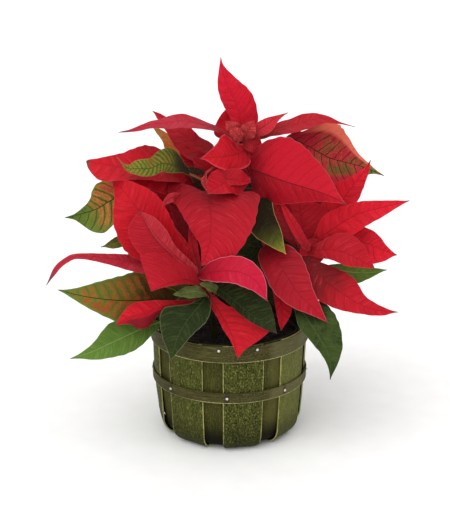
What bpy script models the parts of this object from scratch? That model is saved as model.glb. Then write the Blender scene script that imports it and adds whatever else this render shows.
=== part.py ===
"""Potted poinsettia in a round chip-wood basket, in metres, +Z up.

The origin is the centre of the underside of the basket's base board, on the surface that the basket
stands on. -Y is the front. Sizes in the tables below are in millimetres and angles in degrees; mm() turns
millimetres into metres.
"""

import math

import bmesh
import bpy
from mathutils import Vector

GAP = 0.3  # between faces that touch

# Basket
BASKET_HEIGHT = 119.6
STAVE_COUNT = 8
STAVE_PITCH = 360 / STAVE_COUNT
FIRST_STAVE_ANGLE = 10.0  # from the front towards +X
STAVE_HALF_ANGLE = 15.0
STAVE_THICKNESS = 2.0
STAVE_COLUMNS = 4
STAVE_TOP = BASKET_HEIGHT - 0.6  # the rim band stands a little above the staves
INNER_STAVE_HALF_ANGLE = 11.5
INNER_STAVE_THICKNESS = 1.6
INNER_STAVE_COLUMNS = 3
INNER_STAVE_TUCK = 0.02  # how much further in it lies where the staves are flat
INNER_STAVE_INSET = STAVE_THICKNESS + 0.7  # clear of the staves, which are faceted
RIM_RADIUS = 81.7  # outer face of a stave at the rim
WAIST_RADIUS = 80.2
WAIST_HEIGHT = 64.0
BELLY_RADIUS = 79.0
BELLY_HEIGHT = 42.0
HEEL_RADIUS = 77.5  # where a stave starts to turn under
HEEL_HEIGHT = 20.0
HEEL_STEPS = 3
FOOT_RADIUS = 60.0  # where it ends, against the base board
FOOT_FLATNESS = 0.85  # 1 is a flat stave and 0 one that is as round as the basket
BAND_THICKNESS = 1.7
BAND_FIT = 0.5
RIM_BAND_HEIGHT = 17.3
RIM_BAND_TAPER = 0.2
RIM_LINING_HEIGHT = 13.0
RIM_LINING_FIT = 0.9
HOOP_HEIGHT = 11.0
HOOP_BOTTOM = 58.2
HOOP_FIT = 0.6
RING_SIDES = 40
BOARD_RADIUS = 57.6
BOARD_THICKNESS = 5.0
BOARD_CHAMFER = 0.6

# Nails
NAIL_HEAD_RADIUS = 1.5
NAIL_HEAD_HEIGHT = 0.8
NAIL_SHANK_RADIUS = 0.7
NAIL_HOLE_RADIUS = 1.1
NAIL_HOLE_REACH = (-12.0, 4.0)  # inwards and outwards of the band's face
NAIL_SIDES = 6
HOOP_NAIL_OFFSET = -12.0  # from the middle of a stave
HOOP_NAIL_SHANK = 3.6
RIM_NAIL_OFFSETS = (-17.5, 9.0)
RIM_NAIL_SHANKS = (6.0, 3.8)
RIM_NAIL_DROP = 4.2

# Growing pot and soil
POT_TOP_RADIUS = 74.0
POT_FOOT_RADIUS = 54.0
POT_HEIGHT = 101.0
POT_WALL = 1.4
SOIL_FIT = 0.6  # between the root ball and the pot's wall
SOIL_EDGE_HEIGHT = 103.6
SOIL_CROWN_HEIGHT = 109.6
SOIL_RING_SHARES = (0.86, 0.66, 0.45, 0.22)
SOIL_BUMP = 1.2
SOIL_SIDES = 24

# Plant
STEM_FOOT_RADIUS = 3.8
STEM_TOP_RADIUS = 2.4
STEM_HEAD_SWELL = 0.4
STEM_GAP = 0.6  # between a green stem and the red stem above it
STEM_FOOT_DEPTH = 60.0
STEM_CLEAR_OF_SOIL = 122.0  # a stem is straight up to here, so that it stands in a plain hole
STEM_SIDES = 6
PETIOLE_RADIUS = 1.25
PETIOLE_PLACES = (0.0, 0.5)  # where its cross-sections are, as shares of its length
BLADE_THICKNESS = 0.7
BLADE_LEAST_HALF_WIDTH = 0.45
BLADE_ROWS = 8
SMALL_BLADE_ROWS = 6
SMALL_BLADE_LENGTH = 55.0
BLADE_COLUMNS = 3
WIDTH_PLACES = (0.0, 0.1, 0.3, 0.5, 0.7, 0.9, 1.0)  # shares of a blade's length with a given half-width
WELD = 0.03  # points closer than this are joined after a Boolean
CYATHIUM_SIZE = 3.4
CYATHIUM_PROFILE = ((0.0, 0.4), (0.75, 0.62), (1.5, 0.25))  # height and radius, as shares of its size
CYATHIUM_SIDES = 5

RED = (0.55, 0.012, 0.03)
GREEN = (0.05, 0.11, 0.03)
STEM_GREEN = (0.16, 0.2, 0.06)
CYATHIUM_GREEN = (0.45, 0.42, 0.05)
CHIP_WOOD = (0.1, 0.11, 0.03)
CHIP_WOOD_DARK = (0.06, 0.065, 0.02)
BAND_WOOD = (0.11, 0.09, 0.04)
POT_PLASTIC = (0.02, 0.03, 0.02)
PEAT = (0.02, 0.013, 0.009)
NAIL_STEEL = (0.75, 0.73, 0.68)


def even(width):
    """The half-widths of a plain blade, alike on both sides."""
    side = tuple(width / 2 * share for share in (0.6, 0.97, 0.95, 0.6, 0.16))
    return side, side


def blade(name, spine, face, left, right, fold=8, wave=1.5, ripples=2.0, phase=0.0, shoulders=(0, 0), at=0.6):
    """One leaf or bract. spine runs from where the petiole ends to the tip, and face is where its upper side
    looks. left and right are half-widths along it, seen from the face with the tip ahead. fold lifts each
    half towards the face, shoulders sweep its base backwards, and at is where the petiole leaves the stem, as
    a share of the stem's points."""
    folds = fold if isinstance(fold, tuple) else (fold, fold)
    return {
        "name": name, "spine": spine, "face": face, "sides": (left, right), "folds": folds, "wave": wave,
        "ripples": ripples, "phase": phase, "shoulders": shoulders, "at": at,
    }  # fmt: skip


# Each plant is one rooted cutting: where its stem stands in the soil, where its flower head is, and what it
# bears. joint is the share of the stem's points where the green stem ends and the red bracts begin, neck is
# the bit of red stem above the last bract, and beads is how many cyathia stand on it.
PLANTS = {
    "top": {
        "foot": (6, 4), "crown": (10, 0, 312), "joint": 0.80, "neck": (0, 0, 5), "beads": 6,
        "leaves": [
            blade(
                "hanging_leaf",
                [(33, -14, 259), (37, -25, 245), (41, -35, 231), (48, -43, 218), (56, -48, 205)],
                (0.1, -1, 0.25), (7, 7, 8, 7, 2.5), (14, 20, 22, 14, 5), at=0.72,
            ),
            blade(
                "mottled_right",
                [(72, 10, 309), (88, 14, 298), (103, 16, 289), (119, 15, 283), (134, 13, 278),
                 (148, 11, 275), (159, 10, 271)],
                (0, -0.9, 0.45), (21, 36, 28, 12, 3), (13, 19, 19, 10, 3), wave=2.2, at=0.76,
            ),
            blade(
                "mottled_back_left",
                [(-41, 26, 287), (-54, 30, 295), (-64, 33, 305), (-73, 35, 313), (-80, 36, 318)],
                (0.2, -0.8, 0.8), (4, 8, 10, 6, 2.5), (5, 7, 7, 5, 2), wave=1.0, at=0.74,
            ),
            blade(
                "curled_left",
                [(-40, -26, 282), (-51, -36, 291), (-65, -47, 297), (-77, -56, 294), (-89, -61, 295),
                 (-99, -62, 296), (-109, -63, 307)],
                (0, -0.9, 0.5), (3, 9, 7, 8, 1), (5, 14, 8, 8, 1), wave=3.0, ripples=1.6, at=0.7,
            ),
        ],
        "bracts": [
            blade(
                "tall",
                [(8, 9, 312), (11, 12, 327), (7, 12, 344), (-2, 8, 364), (-8, 3, 383), (-9, 0, 394)],
                (0.15, -1, 0.1), (7, 11, 13, 10, 2), (15, 20, 19, 12, 3), fold=14, wave=0.8, at=0.99,
            ),
            blade(
                "upper_left",
                [(-8, -4, 322), (-32, -11, 330), (-48, -14, 333), (-64, -17, 331), (-79, -19, 330),
                 (-96, -21, 325), (-110, -22, 323)],
                (0, -0.42, 1), (8, 13, 13, 8, 1.5), (6, 10, 10, 6, 1.5), fold=6, wave=0.8, at=0.97,
            ),
            blade(
                "upper_left_back",
                [(-16, 6, 298), (-30, 10, 303), (-46, 13, 313), (-61, 17, 324), (-71, 20, 332),
                 (-79, 22, 337)],
                (0.2, -0.75, 0.8), (10, 15, 15, 10, 4), (9, 9, 11, 6, 2), wave=1.0, at=0.9,
            ),
            blade(
                "upper_right",
                [(28, -3, 313), (39, 0, 319), (51, 2, 323), (66, 4, 326), (81, 6, 330), (96, 8, 331),
                 (112, 8, 327), (127, 9, 323)],
                (0, -0.5, 1), (5, 10, 12, 6, 1.5), (8, 15, 14, 6, 1.5), fold=4, wave=0.8, at=0.95,
            ),
            blade(
                "young_right",
                [(20, -8, 317), (27, -8, 326), (35, -8, 331), (45, -7, 336), (58, -6, 340)],
                (0, -1, 0.35), (3, 5, 4, 2, 1), (4, 7, 7, 4, 1), wave=0.5, at=1.0,
            ),
            blade(
                "young_left", [(10, -12, 315), (3, -15, 325), (-4, -15, 332)],
                (0, -1, 0.5), (3, 5, 5, 3, 1), (3, 5, 5, 3, 1), wave=0.5, at=1.0,
            ),
            blade(
                "young_middle", [(15, -12, 316), (16, -16, 327), (20, -16, 337)],
                (0, -1, 0.4), (3, 5, 5, 3, 1), (3, 5, 5, 3, 1), wave=0.5, at=1.0,
            ),
            blade(
                "broad_right",
                [(20, -18, 285), (34, -30, 283), (51, -42, 279), (69, -50, 275), (86, -56, 271),
                 (101, -61, 266), (113, -64, 260)],
                (0.1, -1, -0.1), (30, 44, 40, 26, 5), (34, 40, 30, 17, 5), fold=(2, -45), wave=1.0, at=0.92,
            ),
            blade(
                "front_small",
                [(18, -12, 304), (6, -22, 301), (-8, -30, 300), (-20, -34, 300), (-30, -34, 299)],
                (0.1, -1, 0.25), (13, 16, 15, 10, 2), (8, 14, 22, 12, 3), wave=1.5, at=0.99,
            ),
            blade(
                "behind_left", [(-2, 8, 310), (-2, 12, 324), (-1, 14, 337), (1, 16, 345)],
                (-0.1, -1, 0.2), (8, 10, 9, 6, 2), (8, 8, 8, 6, 2), at=0.97,
            ),
            blade(
                "front_lower",
                [(17, -16, 282), (6, -28, 279), (-6, -40, 276), (-17, -50, 271), (-22, -52, 268)],
                (-0.2, -1, 0.25), (13, 19, 18, 11, 4), (6, 10, 13, 9, 3), at=0.94,
            ),
            blade(
                "broad_front",
                [(-21, -38, 266), (-13, -50, 249), (-11, -59, 231), (-18, -65, 214), (-28, -69, 198)],
                (0, -1, 0.12), (48, 44, 32, 17, 6), (40, 35, 27, 14, 3), fold=6, wave=1.2,
                shoulders=(-14, 30), at=0.84,
            ),
            blade(
                "broad_lower",
                [(35, -22, 206), (46, -40, 197), (57, -56, 184), (69, -68, 169), (83, -75, 157),
                 (97, -78, 143)],
                (0, -0.9, 0.5), (15, 23, 20, 13, 4), (13, 18, 20, 13, 4), wave=1.0, at=0.83,
            ),
            blade(
                "left_flat",
                [(-44, -12, 276), (-64, -26, 284), (-84, -38, 289), (-103, -45, 292), (-121, -52, 297),
                 (-139, -56, 301)],
                (0, -0.6, 0.8), (10, 18, 19, 19, 18), (16, 27, 24, 14, 3), wave=1.0, at=0.86,
            ),
            blade(
                "back_left", [(2, 14, 292), (-10, 42, 290), (-20, 66, 280), (-26, 84, 264)],
                (-0.2, 0.35, 1), *even(44), at=0.9,
            ),
            blade(
                "back", [(10, 14, 288), (16, 46, 288), (20, 76, 276), (22, 98, 258)],
                (0, 0.3, 1), *even(46), at=0.87,
            ),
            blade(
                "back_right", [(18, 10, 292), (40, 36, 292), (56, 56, 284), (68, 70, 270)],
                (0.2, 0.3, 1), *even(42), at=0.93,
            ),
        ],
    },
    "left": {
        "foot": (-16, -24), "crown": (-31, -56, 184), "joint": 0.70, "neck": (-1, -3, 3), "beads": 0,
        "leaves": [
            blade(
                "mottled_left",
                [(-50, -46, 160), (-70, -54, 160), (-89, -62, 161), (-111, -70, 164), (-130, -76, 168),
                 (-149, -80, 173), (-168, -82, 179)],
                (0, -1, 0.35), (5, 20, 22, 15, 5), (6, 25, 22, 15, 4), at=0.66,
            ),
            blade(
                "lower_left",
                [(-71, -48, 133), (-86, -56, 130), (-102, -64, 125), (-120, -72, 119), (-137, -79, 113),
                 (-158, -85, 108)],
                (0, -0.9, 0.55), (5, 13, 15, 11, 3), (4, 14, 16, 8, 2), at=0.55,
            ),
            blade(
                "front_left",
                [(-23, -58, 164), (-32, -72, 157), (-42, -82, 147), (-50, -89, 135), (-55, -93, 121),
                 (-58, -95, 109)],
                (-0.1, -0.85, 0.5), (9, 16, 14, 10, 3), (4, 11, 26, 17, 4), at=0.62,
            ),
            blade(
                "front_centre",
                [(-16, -56, 175), (-2, -70, 169), (13, -82, 160), (26, -90, 152), (36, -93, 145),
                 (46, -94, 138)],
                (0, -0.85, 0.55), (8, 15, 21, 20, 9), (5, 6, 7, 6, 3), wave=1.0, at=0.58,
            ),
            blade(
                "tuft", [(-23, -64, 168), (-34, -70, 173), (-45, -74, 173), (-56, -76, 172)],
                (0, -0.8, 0.6), (3, 5, 6, 4, 1), (3, 5, 5, 4, 1), wave=0.5, at=0.55,
            ),
        ],
        "bracts": [
            blade(
                "broad_left",
                [(-33, -58, 190), (-49, -64, 209), (-68, -70, 231), (-87, -72, 255), (-101, -66, 272),
                 (-114, -56, 283)],
                (0, -1, 0.2), (8, 22, 33, 28, 9), (8, 12, 19, 19, 6), at=0.9,
            ),
            blade(
                "young_left",
                [(-33, -66, 192), (-49, -76, 214), (-62, -86, 232), (-74, -93, 246), (-79, -96, 255),
                 (-84, -97, 264)],
                (-0.2, -1, 0.25), (3, 6, 10, 22, 11), (3, 5, 9, 9, 3), wave=1.0, at=0.97,
            ),
            blade(
                "lower",
                [(-29, -66, 183), (-47, -80, 190), (-60, -90, 191), (-69, -95, 187), (-76, -96, 182)],
                (-0.1, -1, 0.25), (3, 7, 7, 5, 2), (5, 12, 22, 24, 9), wave=0.8, at=0.93,
            ),
            blade(
                "pink",
                [(-30, -66, 187), (-16, -78, 196), (0, -88, 200), (14, -94, 199), (27, -97, 190),
                 (36, -99, 173)],
                (0.1, -0.8, 0.6), (6, 13, 16, 12, 4), (6, 12, 13, 12, 5), fold=4, wave=0.6, at=0.95,
            ),
            blade(
                "long_curved",
                [(-40, -52, 186), (-64, -62, 197), (-88, -70, 202), (-112, -76, 208), (-134, -80, 212),
                 (-149, -82, 213), (-157, -83, 210), (-167, -84, 202), (-178, -86, 185)],
                (0, -0.55, 1), (7, 10, 7, 4, 3), (7, 11, 7, 4, 3), fold=4, wave=0.4, at=0.86,
            ),
            blade(
                "inner_left", [(-34, -60, 194), (-45, -62, 214), (-55, -58, 231), (-61, -52, 245)],
                (0, -1, 0.2), (3, 5, 6, 4, 1.5), (3, 6, 6, 4, 1.5), wave=0.8, at=0.96,
            ),
            blade(
                "inner_dark", [(-33, -48, 191), (-42, -44, 210), (-50, -38, 231), (-60, -32, 252)],
                (0, -1, 0.2), (3, 5, 6, 5, 2), (5, 9, 10, 8, 3), wave=0.8, at=0.88,
            ),
            blade(
                "inner_shaded",
                [(-28, -50, 191), (-28, -46, 205), (-30, -40, 220), (-33, -34, 232)],
                (0, -1, 0.2), (3, 6, 7, 5, 2), (3, 6, 7, 5, 2), wave=0.8, at=0.92,
            ),
            blade(
                "narrow_front",
                [(-30, -62, 193), (-35, -58, 210), (-38, -52, 225), (-39, -46, 240)],
                (0, -1, 0.1), (2, 4, 4, 3, 1.5), (3, 4, 5, 4, 2), wave=0.5, at=0.98,
            ),
            blade(
                "low_folded",
                [(-38, -58, 158), (-54, -68, 159), (-71, -78, 159), (-86, -86, 156), (-99, -90, 153),
                 (-112, -91, 145)],
                (0, -1, 0.1), (3, 6, 26, 25, 8), (3, 5, 9, 12, 5), fold=(-45, -20), wave=0.8, at=0.74,
            ),
            blade(
                "low_front",
                [(-18, -58, 164), (-11, -66, 152), (-3, -74, 141), (3, -82, 128), (6, -88, 118),
                 (8, -91, 110)],
                (0, -0.9, 0.4), (5, 13, 28, 44, 22), (5, 5, 6, 3, 1), wave=1.0, at=0.78,
            ),
        ],
    },
    "right": {
        "foot": (24, -12), "crown": (77, -20, 205), "joint": 0.68, "neck": (2, -1, 3), "beads": 0,
        "leaves": [
            blade(
                "lower_right",
                [(66, -58, 158), (76, -72, 146), (86, -83, 133), (95, -90, 119), (99, -94, 104),
                 (99, -95, 90)],
                (0.2, -0.9, 0.45), (16, 24, 22, 13, 3), (6, 12, 10, 6, 2), at=0.64,
            ),
            blade(
                "right_edge",
                [(92, -4, 177), (109, -10, 177), (130, -14, 175), (147, -16, 176), (162, -17, 179)],
                (0, -0.8, 0.6), (3, 7, 9, 7, 3), (3, 10, 14, 8, 2), wave=1.0, at=0.62,
            ),
        ],
        "bracts": [
            blade(
                "narrow_curled",
                [(79, -44, 208), (71, -42, 220), (63, -36, 233), (56, -30, 245), (51, -26, 254)],
                (0.1, -1, 0.2), (4, 5, 5, 4, 2), (4, 5, 5, 4, 2), fold=20, wave=0.5, at=0.97,
            ),
            blade(
                "narrow_dark", [(74, -36, 212), (64, -30, 223), (55, -24, 237), (49, -18, 248)],
                (0, -1, 0.2), (3, 5, 6, 5, 2), (3, 5, 6, 5, 2), wave=0.5, at=0.94,
            ),
            blade(
                "upright_inner", [(80, -18, 205), (77, -16, 221), (74, -12, 237), (72, -8, 251)],
                (0, -1, 0.2), (6, 12, 13, 10, 4), (8, 16, 17, 13, 5), at=0.97,
            ),
            blade(
                "pointing_right",
                [(78, -24, 207), (93, -32, 219), (110, -40, 234), (127, -46, 246), (148, -50, 253),
                 (176, -52, 261)],
                (0.1, -0.9, 0.4), (4, 16, 13, 9, 3.5), (4, 13, 16, 11, 3.5), at=0.98,
            ),
            blade(
                "pointing_up",
                [(90, -12, 218), (106, -10, 237), (118, -8, 255), (130, -5, 271), (138, -3, 281),
                 (143, -2, 291)],
                (-0.3, -1, 0.2), (8, 16, 18, 8, 2), (6, 12, 14, 10, 3.5), at=0.96,
            ),
            blade(
                "right_back",
                [(79, -30, 206), (96, -32, 214), (116, -35, 217), (136, -38, 214), (153, -40, 207),
                 (168, -41, 202)],
                (0, -1, 0.3), (4, 8, 15, 13, 4), (4, 10, 17, 19, 6), at=0.93,
            ),
            blade(
                "right_front",
                [(78, -34, 205), (92, -44, 208), (107, -52, 210), (123, -57, 205), (134, -59, 199),
                 (143, -60, 194)],
                (0, -0.9, 0.45), (4, 11, 18, 14, 6), (6, 9, 12, 11, 5), at=0.94,
            ),
            blade(
                "long_lower",
                [(74, -34, 201), (84, -44, 189), (97, -54, 178), (113, -62, 168), (129, -68, 159),
                 (147, -72, 154), (166, -74, 153)],
                (-0.1, -0.8, 0.6), (6, 16, 16, 8, 2), (5, 17, 16, 9, 3), ripples=2.6, at=0.86,
            ),
            blade(
                "small_hanging",
                [(42, -28, 191), (45, -36, 175), (50, -43, 158), (53, -48, 144), (52, -52, 125)],
                (0, -1, 0.2), (3, 5, 9, 10, 4), (3, 4, 5, 6, 3), wave=0.6, at=0.72,
            ),
        ],
    },
    "back_left": {
        "foot": (-16, 26), "crown": (-62, 36, 236), "joint": 0.76, "neck": (0, 0, 9), "beads": 4,
        "leaves": [
            blade(
                "left_upper",
                [(-81, -8, 261), (-101, -16, 259), (-118, -24, 255), (-132, -32, 248), (-144, -38, 245),
                 (-164, -42, 241)],
                (-0.1, -1, 0.3), (6, 20, 24, 24, 6), (6, 16, 20, 11, 1.5), wave=2.0, at=0.72,
            ),
            blade(
                "left_sliver",
                [(-97, -12, 212), (-112, -20, 210), (-122, -24, 208), (-131, -26, 206)],
                (0, -0.9, 0.4), (3, 4, 4, 3, 1), (3, 5, 5, 4, 1), wave=0.5, at=0.62,
            ),
            blade(
                "rear_left_leaf",
                [(-66, 56, 190), (-88, 72, 188), (-104, 84, 176), (-114, 92, 158)],
                (-0.4, 0.5, 0.9), *even(46), at=0.6,
            ),
            blade(
                "rear_low_leaf",
                [(-34, 72, 172), (-44, 100, 168), (-54, 122, 154), (-60, 134, 134)],
                (-0.2, 0.6, 0.9), *even(46), at=0.45,
            ),
        ],
        "bracts": [
            blade(
                "rear_left", [(-74, 40, 240), (-96, 48, 252), (-116, 54, 250), (-132, 58, 236)],
                (-0.3, 0.4, 1), *even(46), at=0.95,
            ),
            blade(
                "rear_down_left",
                [(-70, 50, 230), (-88, 68, 232), (-102, 82, 218), (-110, 90, 196)],
                (-0.3, 0.7, 0.8), *even(44), at=0.9,
            ),
            blade(
                "rear_down", [(-60, 54, 232), (-62, 80, 234), (-64, 102, 220), (-64, 114, 198)],
                (0, 0.8, 0.8), *even(46), at=0.93,
            ),
            blade(
                "rear_inner_left",
                [(-54, 48, 242), (-38, 68, 252), (-26, 90, 248), (-20, 104, 232)],
                (0.2, 0.5, 1), *even(40), at=0.98,
            ),
            blade(
                "rear_young_left", [(-70, 44, 248), (-78, 52, 263), (-84, 58, 273)],
                (-0.4, 0.6, 0.8), *even(20), wave=0.6, at=1.0,
            ),
        ],
    },
    "back_right": {
        "foot": (22, 24), "crown": (58, 58, 240), "joint": 0.76, "neck": (0, 0, 9), "beads": 4,
        "leaves": [
            blade(
                "rear_right_leaf", [(76, 66, 196), (100, 78, 194), (120, 86, 182), (132, 92, 164)],
                (0.4, 0.5, 0.9), *even(46), at=0.55,
            ),
            blade(
                "rear_middle_leaf", [(36, 74, 176), (34, 104, 174), (30, 130, 160), (26, 148, 138)],
                (0, 0.6, 0.9), *even(48), at=0.45,
            ),
            blade(
                "rear_low_right_leaf",
                [(60, 62, 158), (78, 84, 154), (92, 102, 140), (100, 112, 120)],
                (0.4, 0.6, 0.8), *even(44), at=0.4,
            ),
        ],
        "bracts": [
            blade(
                "rear_right", [(70, 62, 244), (92, 70, 256), (112, 76, 254), (128, 80, 240)],
                (0.3, 0.4, 1), *even(46), at=0.96,
            ),
            blade(
                "rear_down_right", [(68, 70, 236), (84, 88, 242), (98, 104, 230), (106, 116, 208)],
                (0.3, 0.7, 0.8), *even(44), at=0.9,
            ),
            blade(
                "rear_down_middle", [(56, 74, 238), (54, 100, 242), (50, 124, 228), (48, 138, 206)],
                (0, 0.8, 0.8), *even(46), at=0.93,
            ),
            blade(
                "rear_inner_right", [(48, 68, 240), (34, 86, 248), (20, 106, 242), (8, 118, 228)],
                (-0.2, 0.4, 1), *even(38), at=0.98,
            ),
            blade(
                "rear_young_right", [(71, 62, 251), (85, 66, 263), (97, 70, 271)],
                (0.4, 0.5, 0.8), *even(20), wave=0.6, at=1.0,
            ),
            blade(
                "side_right", [(80, 40, 230), (102, 38, 236), (122, 34, 230), (136, 30, 214)],
                (0.4, -0.1, 1), *even(40), at=0.86,
            ),
        ],
    },
}  # fmt: skip


def mm(value):
    return value * 0.001


def clear_scene():
    for obj in list(bpy.data.objects):
        bpy.data.objects.remove(obj, do_unlink=True)


def material(name, colour, roughness, metallic=0.0):
    made = bpy.data.materials.new(name)
    made.use_nodes = True
    shader = made.node_tree.nodes["Principled BSDF"]
    shader.inputs["Base Color"].default_value = (*colour, 1.0)
    shader.inputs["Roughness"].default_value = roughness
    shader.inputs["Metallic"].default_value = metallic
    return made


def mesh_object(name, points, faces, finish=None, smooth_angle=None):
    """A mesh from points in millimetres, linked to the scene."""
    mesh = bpy.data.meshes.new(name)
    mesh.from_pydata([tuple(mm(x) for x in p) for p in points], [], faces)
    mesh.update()
    if smooth_angle is not None:
        mesh.shade_smooth()
        mesh.set_sharp_from_angle(angle=math.radians(smooth_angle))
    obj = bpy.data.objects.new(name, mesh)
    bpy.context.scene.collection.objects.link(obj)
    if finish is not None:
        mesh.materials.append(finish)
    return obj


def polar(radius, angle, height):
    """A point on a circle round the basket's axis; angle 0 is the front and grows towards +X."""
    turn = math.radians(angle)
    return Vector((radius * math.sin(turn), -radius * math.cos(turn), height))


# Grids and tubes


def slab_from_grids(outer, inner):
    """Points and triangles of a closed slab between two grids of points, split alike on both faces."""
    rows, columns = len(outer), len(outer[0])
    points = [p for row in outer for p in row] + [p for row in inner for p in row]
    half = rows * columns
    faces = []
    for r in range(rows - 1):
        for c in range(columns - 1):
            a = r * columns + c
            b, d, e = a + 1, a + columns, a + columns + 1
            if c < (columns - 1) / 2:
                pair = [(a, b, e), (a, e, d)]
            else:
                pair = [(a, b, d), (b, e, d)]
            faces += pair
            faces += [(half + k, half + j, half + i) for i, j, k in pair]
    rim = list(range(columns))
    rim += [r * columns + columns - 1 for r in range(1, rows)]
    rim += [(rows - 1) * columns + c for c in range(columns - 2, -1, -1)]
    rim += [r * columns for r in range(rows - 2, 0, -1)]
    for i, j in zip(rim, rim[1:] + rim[:1]):
        faces += [(j, i, half + i), (j, half + i, half + j)]
    return points, faces


def smooth_route(points, count):
    """count points spaced evenly along a smooth curve through points."""
    knots = [Vector(p) for p in points]
    if len(knots) == 2:
        dense = [knots[0].lerp(knots[1], i / 16) for i in range(17)]
    else:
        ends = [2 * knots[0] - knots[1], *knots, 2 * knots[-1] - knots[-2]]
        dense = []
        for i in range(len(knots) - 1):
            a, b, c, d = ends[i : i + 4]
            for k in range(16):
                t = k / 16
                square = (2 * a - 5 * b + 4 * c - d) * t**2
                cube = (3 * b - a - 3 * c + d) * t**3
                dense.append(0.5 * (2 * b + (c - a) * t + square + cube))
        dense.append(knots[-1])
    lengths = [0.0]
    for a, b in zip(dense, dense[1:]):
        lengths.append(lengths[-1] + (b - a).length)
    route, j = [], 0
    for i in range(count):
        target = lengths[-1] * i / (count - 1)
        while j < len(dense) - 2 and lengths[j + 1] < target:
            j += 1
        share = (target - lengths[j]) / max(lengths[j + 1] - lengths[j], 1e-9)
        route.append(dense[j].lerp(dense[j + 1], share))
    return route


def tangents(route):
    last = len(route) - 1
    return [(route[min(i + 1, last)] - route[max(i - 1, 0)]).normalized() for i in range(len(route))]


def tube(route, radii, sides):
    """Points and faces of a closed tube along a route, with flat ends."""
    points, faces = [], []
    side = Vector((1, 0, 0))
    for centre, along, radius in zip(route, tangents(route), radii):
        side = side - side.dot(along) * along
        if side.length < 0.1:
            side = Vector((0, 1, 0)) - along.y * along
        side.normalize()
        other = along.cross(side)
        for k in range(sides):
            turn = 2 * math.pi * k / sides
            points.append(centre + radius * (math.cos(turn) * side + math.sin(turn) * other))
    for r in range(len(route) - 1):
        for k in range(sides):
            a, b = r * sides + k, r * sides + (k + 1) % sides
            faces.append((a, b, b + sides, a + sides))
    faces.append(tuple(range(sides - 1, -1, -1)))
    faces.append(tuple(range((len(route) - 1) * sides, len(route) * sides)))
    return points, faces


# Leaves and bracts


def half_width(shape, along, side):
    """Half the blade's width at a share of its length, on its left (0) or right (1) side."""
    widths = (PETIOLE_RADIUS, *shape["sides"][side], BLADE_LEAST_HALF_WIDTH)
    i = 0
    while i < len(WIDTH_PLACES) - 2 and WIDTH_PLACES[i + 1] < along:
        i += 1
    step = WIDTH_PLACES[i + 1] - WIDTH_PLACES[i]
    share = (along - WIDTH_PLACES[i]) / step
    if i == 0:
        return widths[0] + (widths[1] - widths[0]) * math.sin(math.pi / 2 * share) ** 0.8
    before = (widths[i + 1] - widths[i - 1]) / (WIDTH_PLACES[i + 1] - WIDTH_PLACES[i - 1]) * step
    last = i + 2 == len(WIDTH_PLACES)
    after = (widths[i + 1] - widths[i]) if last else (
        (widths[i + 2] - widths[i]) / (WIDTH_PLACES[i + 2] - WIDTH_PLACES[i]) * step
    )
    a, b = widths[i], widths[i + 1]
    square = (3 * (b - a) - 2 * before - after) * share**2
    cube = (2 * (a - b) + before + after) * share**3
    return max(a + before * share + square + cube, BLADE_LEAST_HALF_WIDTH)


def blade_grids(stem, shape, rows, columns, thickness):
    """The upper and lower grids of a leaf: its petiole from inside the stem, then its blade."""
    petiole = petiole_route(stem, shape)
    lead = len(petiole)
    route = petiole + smooth_route(shape["spine"], rows)
    half = thickness / 2
    upper, lower = [], []
    for r, (centre, along) in enumerate(zip(route, tangents(route))):
        u = max(r - lead, 0) / (rows - 1)
        face = Vector(shape["face"])
        normal = (face - face.dot(along) * along).normalized()
        across = along.cross(normal)
        swell = math.sin(math.pi * u) ** 0.5 if lead < r < len(route) - 1 else 0.0
        over, under = [], []
        for c in range(columns):
            v = 2 * c / (columns - 1) - 1
            side = 0 if v < 0 else 1
            full = PETIOLE_RADIUS if r < lead else half_width(shape, u, side)
            reach = abs(v) * full
            tilt = math.radians(shape["folds"][side]) * min(1.0, 6 * u)
            back = shape["shoulders"][side] * reach / max(shape["sides"][side]) * (1 - u) ** 4
            ripple = math.sin(2 * math.pi * (shape["ripples"] * u + shape["phase"]) + 2.6 * side)
            lift = reach * math.sin(tilt) + shape["wave"] * abs(v) ** 1.5 * swell * ripple
            outward = across if side else -across
            place = centre + reach * math.cos(tilt) * outward + lift * normal - back * along
            rib = max(PETIOLE_RADIUS * (1 - u) ** 3, half)
            rib *= math.sqrt(max(1 - (reach / PETIOLE_RADIUS) ** 2, 0.0))
            over.append(place + max(half, 0.5 * rib) * normal)
            under.append(place - max(half, rib) * normal)
        upper.append(over)
        lower.append(under)
    return upper, lower


def petiole_route(stem, shape):
    """From the middle of the stem to a little short of the blade."""
    start = point_on(stem, shape["at"])
    base = Vector(shape["spine"][0])
    bend = Vector((0, 0, 0.05 * (base - start).length))
    return [start.lerp(base, share) + bend * math.sin(math.pi * share) for share in PETIOLE_PLACES]


def point_on(route, share):
    place = share * (len(route) - 1)
    i = min(int(place), len(route) - 2)
    return route[i].lerp(route[i + 1], place - i)


def stem_route(plant):
    x, y = plant["foot"]
    crown = Vector(plant["crown"])
    clear = Vector((x, y, STEM_CLEAR_OF_SOIL))
    bend = clear.lerp(crown, 0.5) + Vector((0, 0, 0.12 * (crown - clear).length))
    rise = smooth_route([(x, y, STEM_CLEAR_OF_SOIL - 20), clear, bend, crown], 10)
    rise = [p for p in rise if p.z > STEM_CLEAR_OF_SOIL - 6]
    return [Vector((x, y, STEM_FOOT_DEPTH))] + [Vector((x, y, STEM_CLEAR_OF_SOIL - 8))] + rise


def part_of_route(route, low, high):
    """The stretch of a route between two shares of its points."""
    count = len(route) - 1
    inside = [i for i in range(count + 1) if low < i / count < high]
    return [point_on(route, low)] + [route[i] for i in inside] + [point_on(route, high)]


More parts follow.
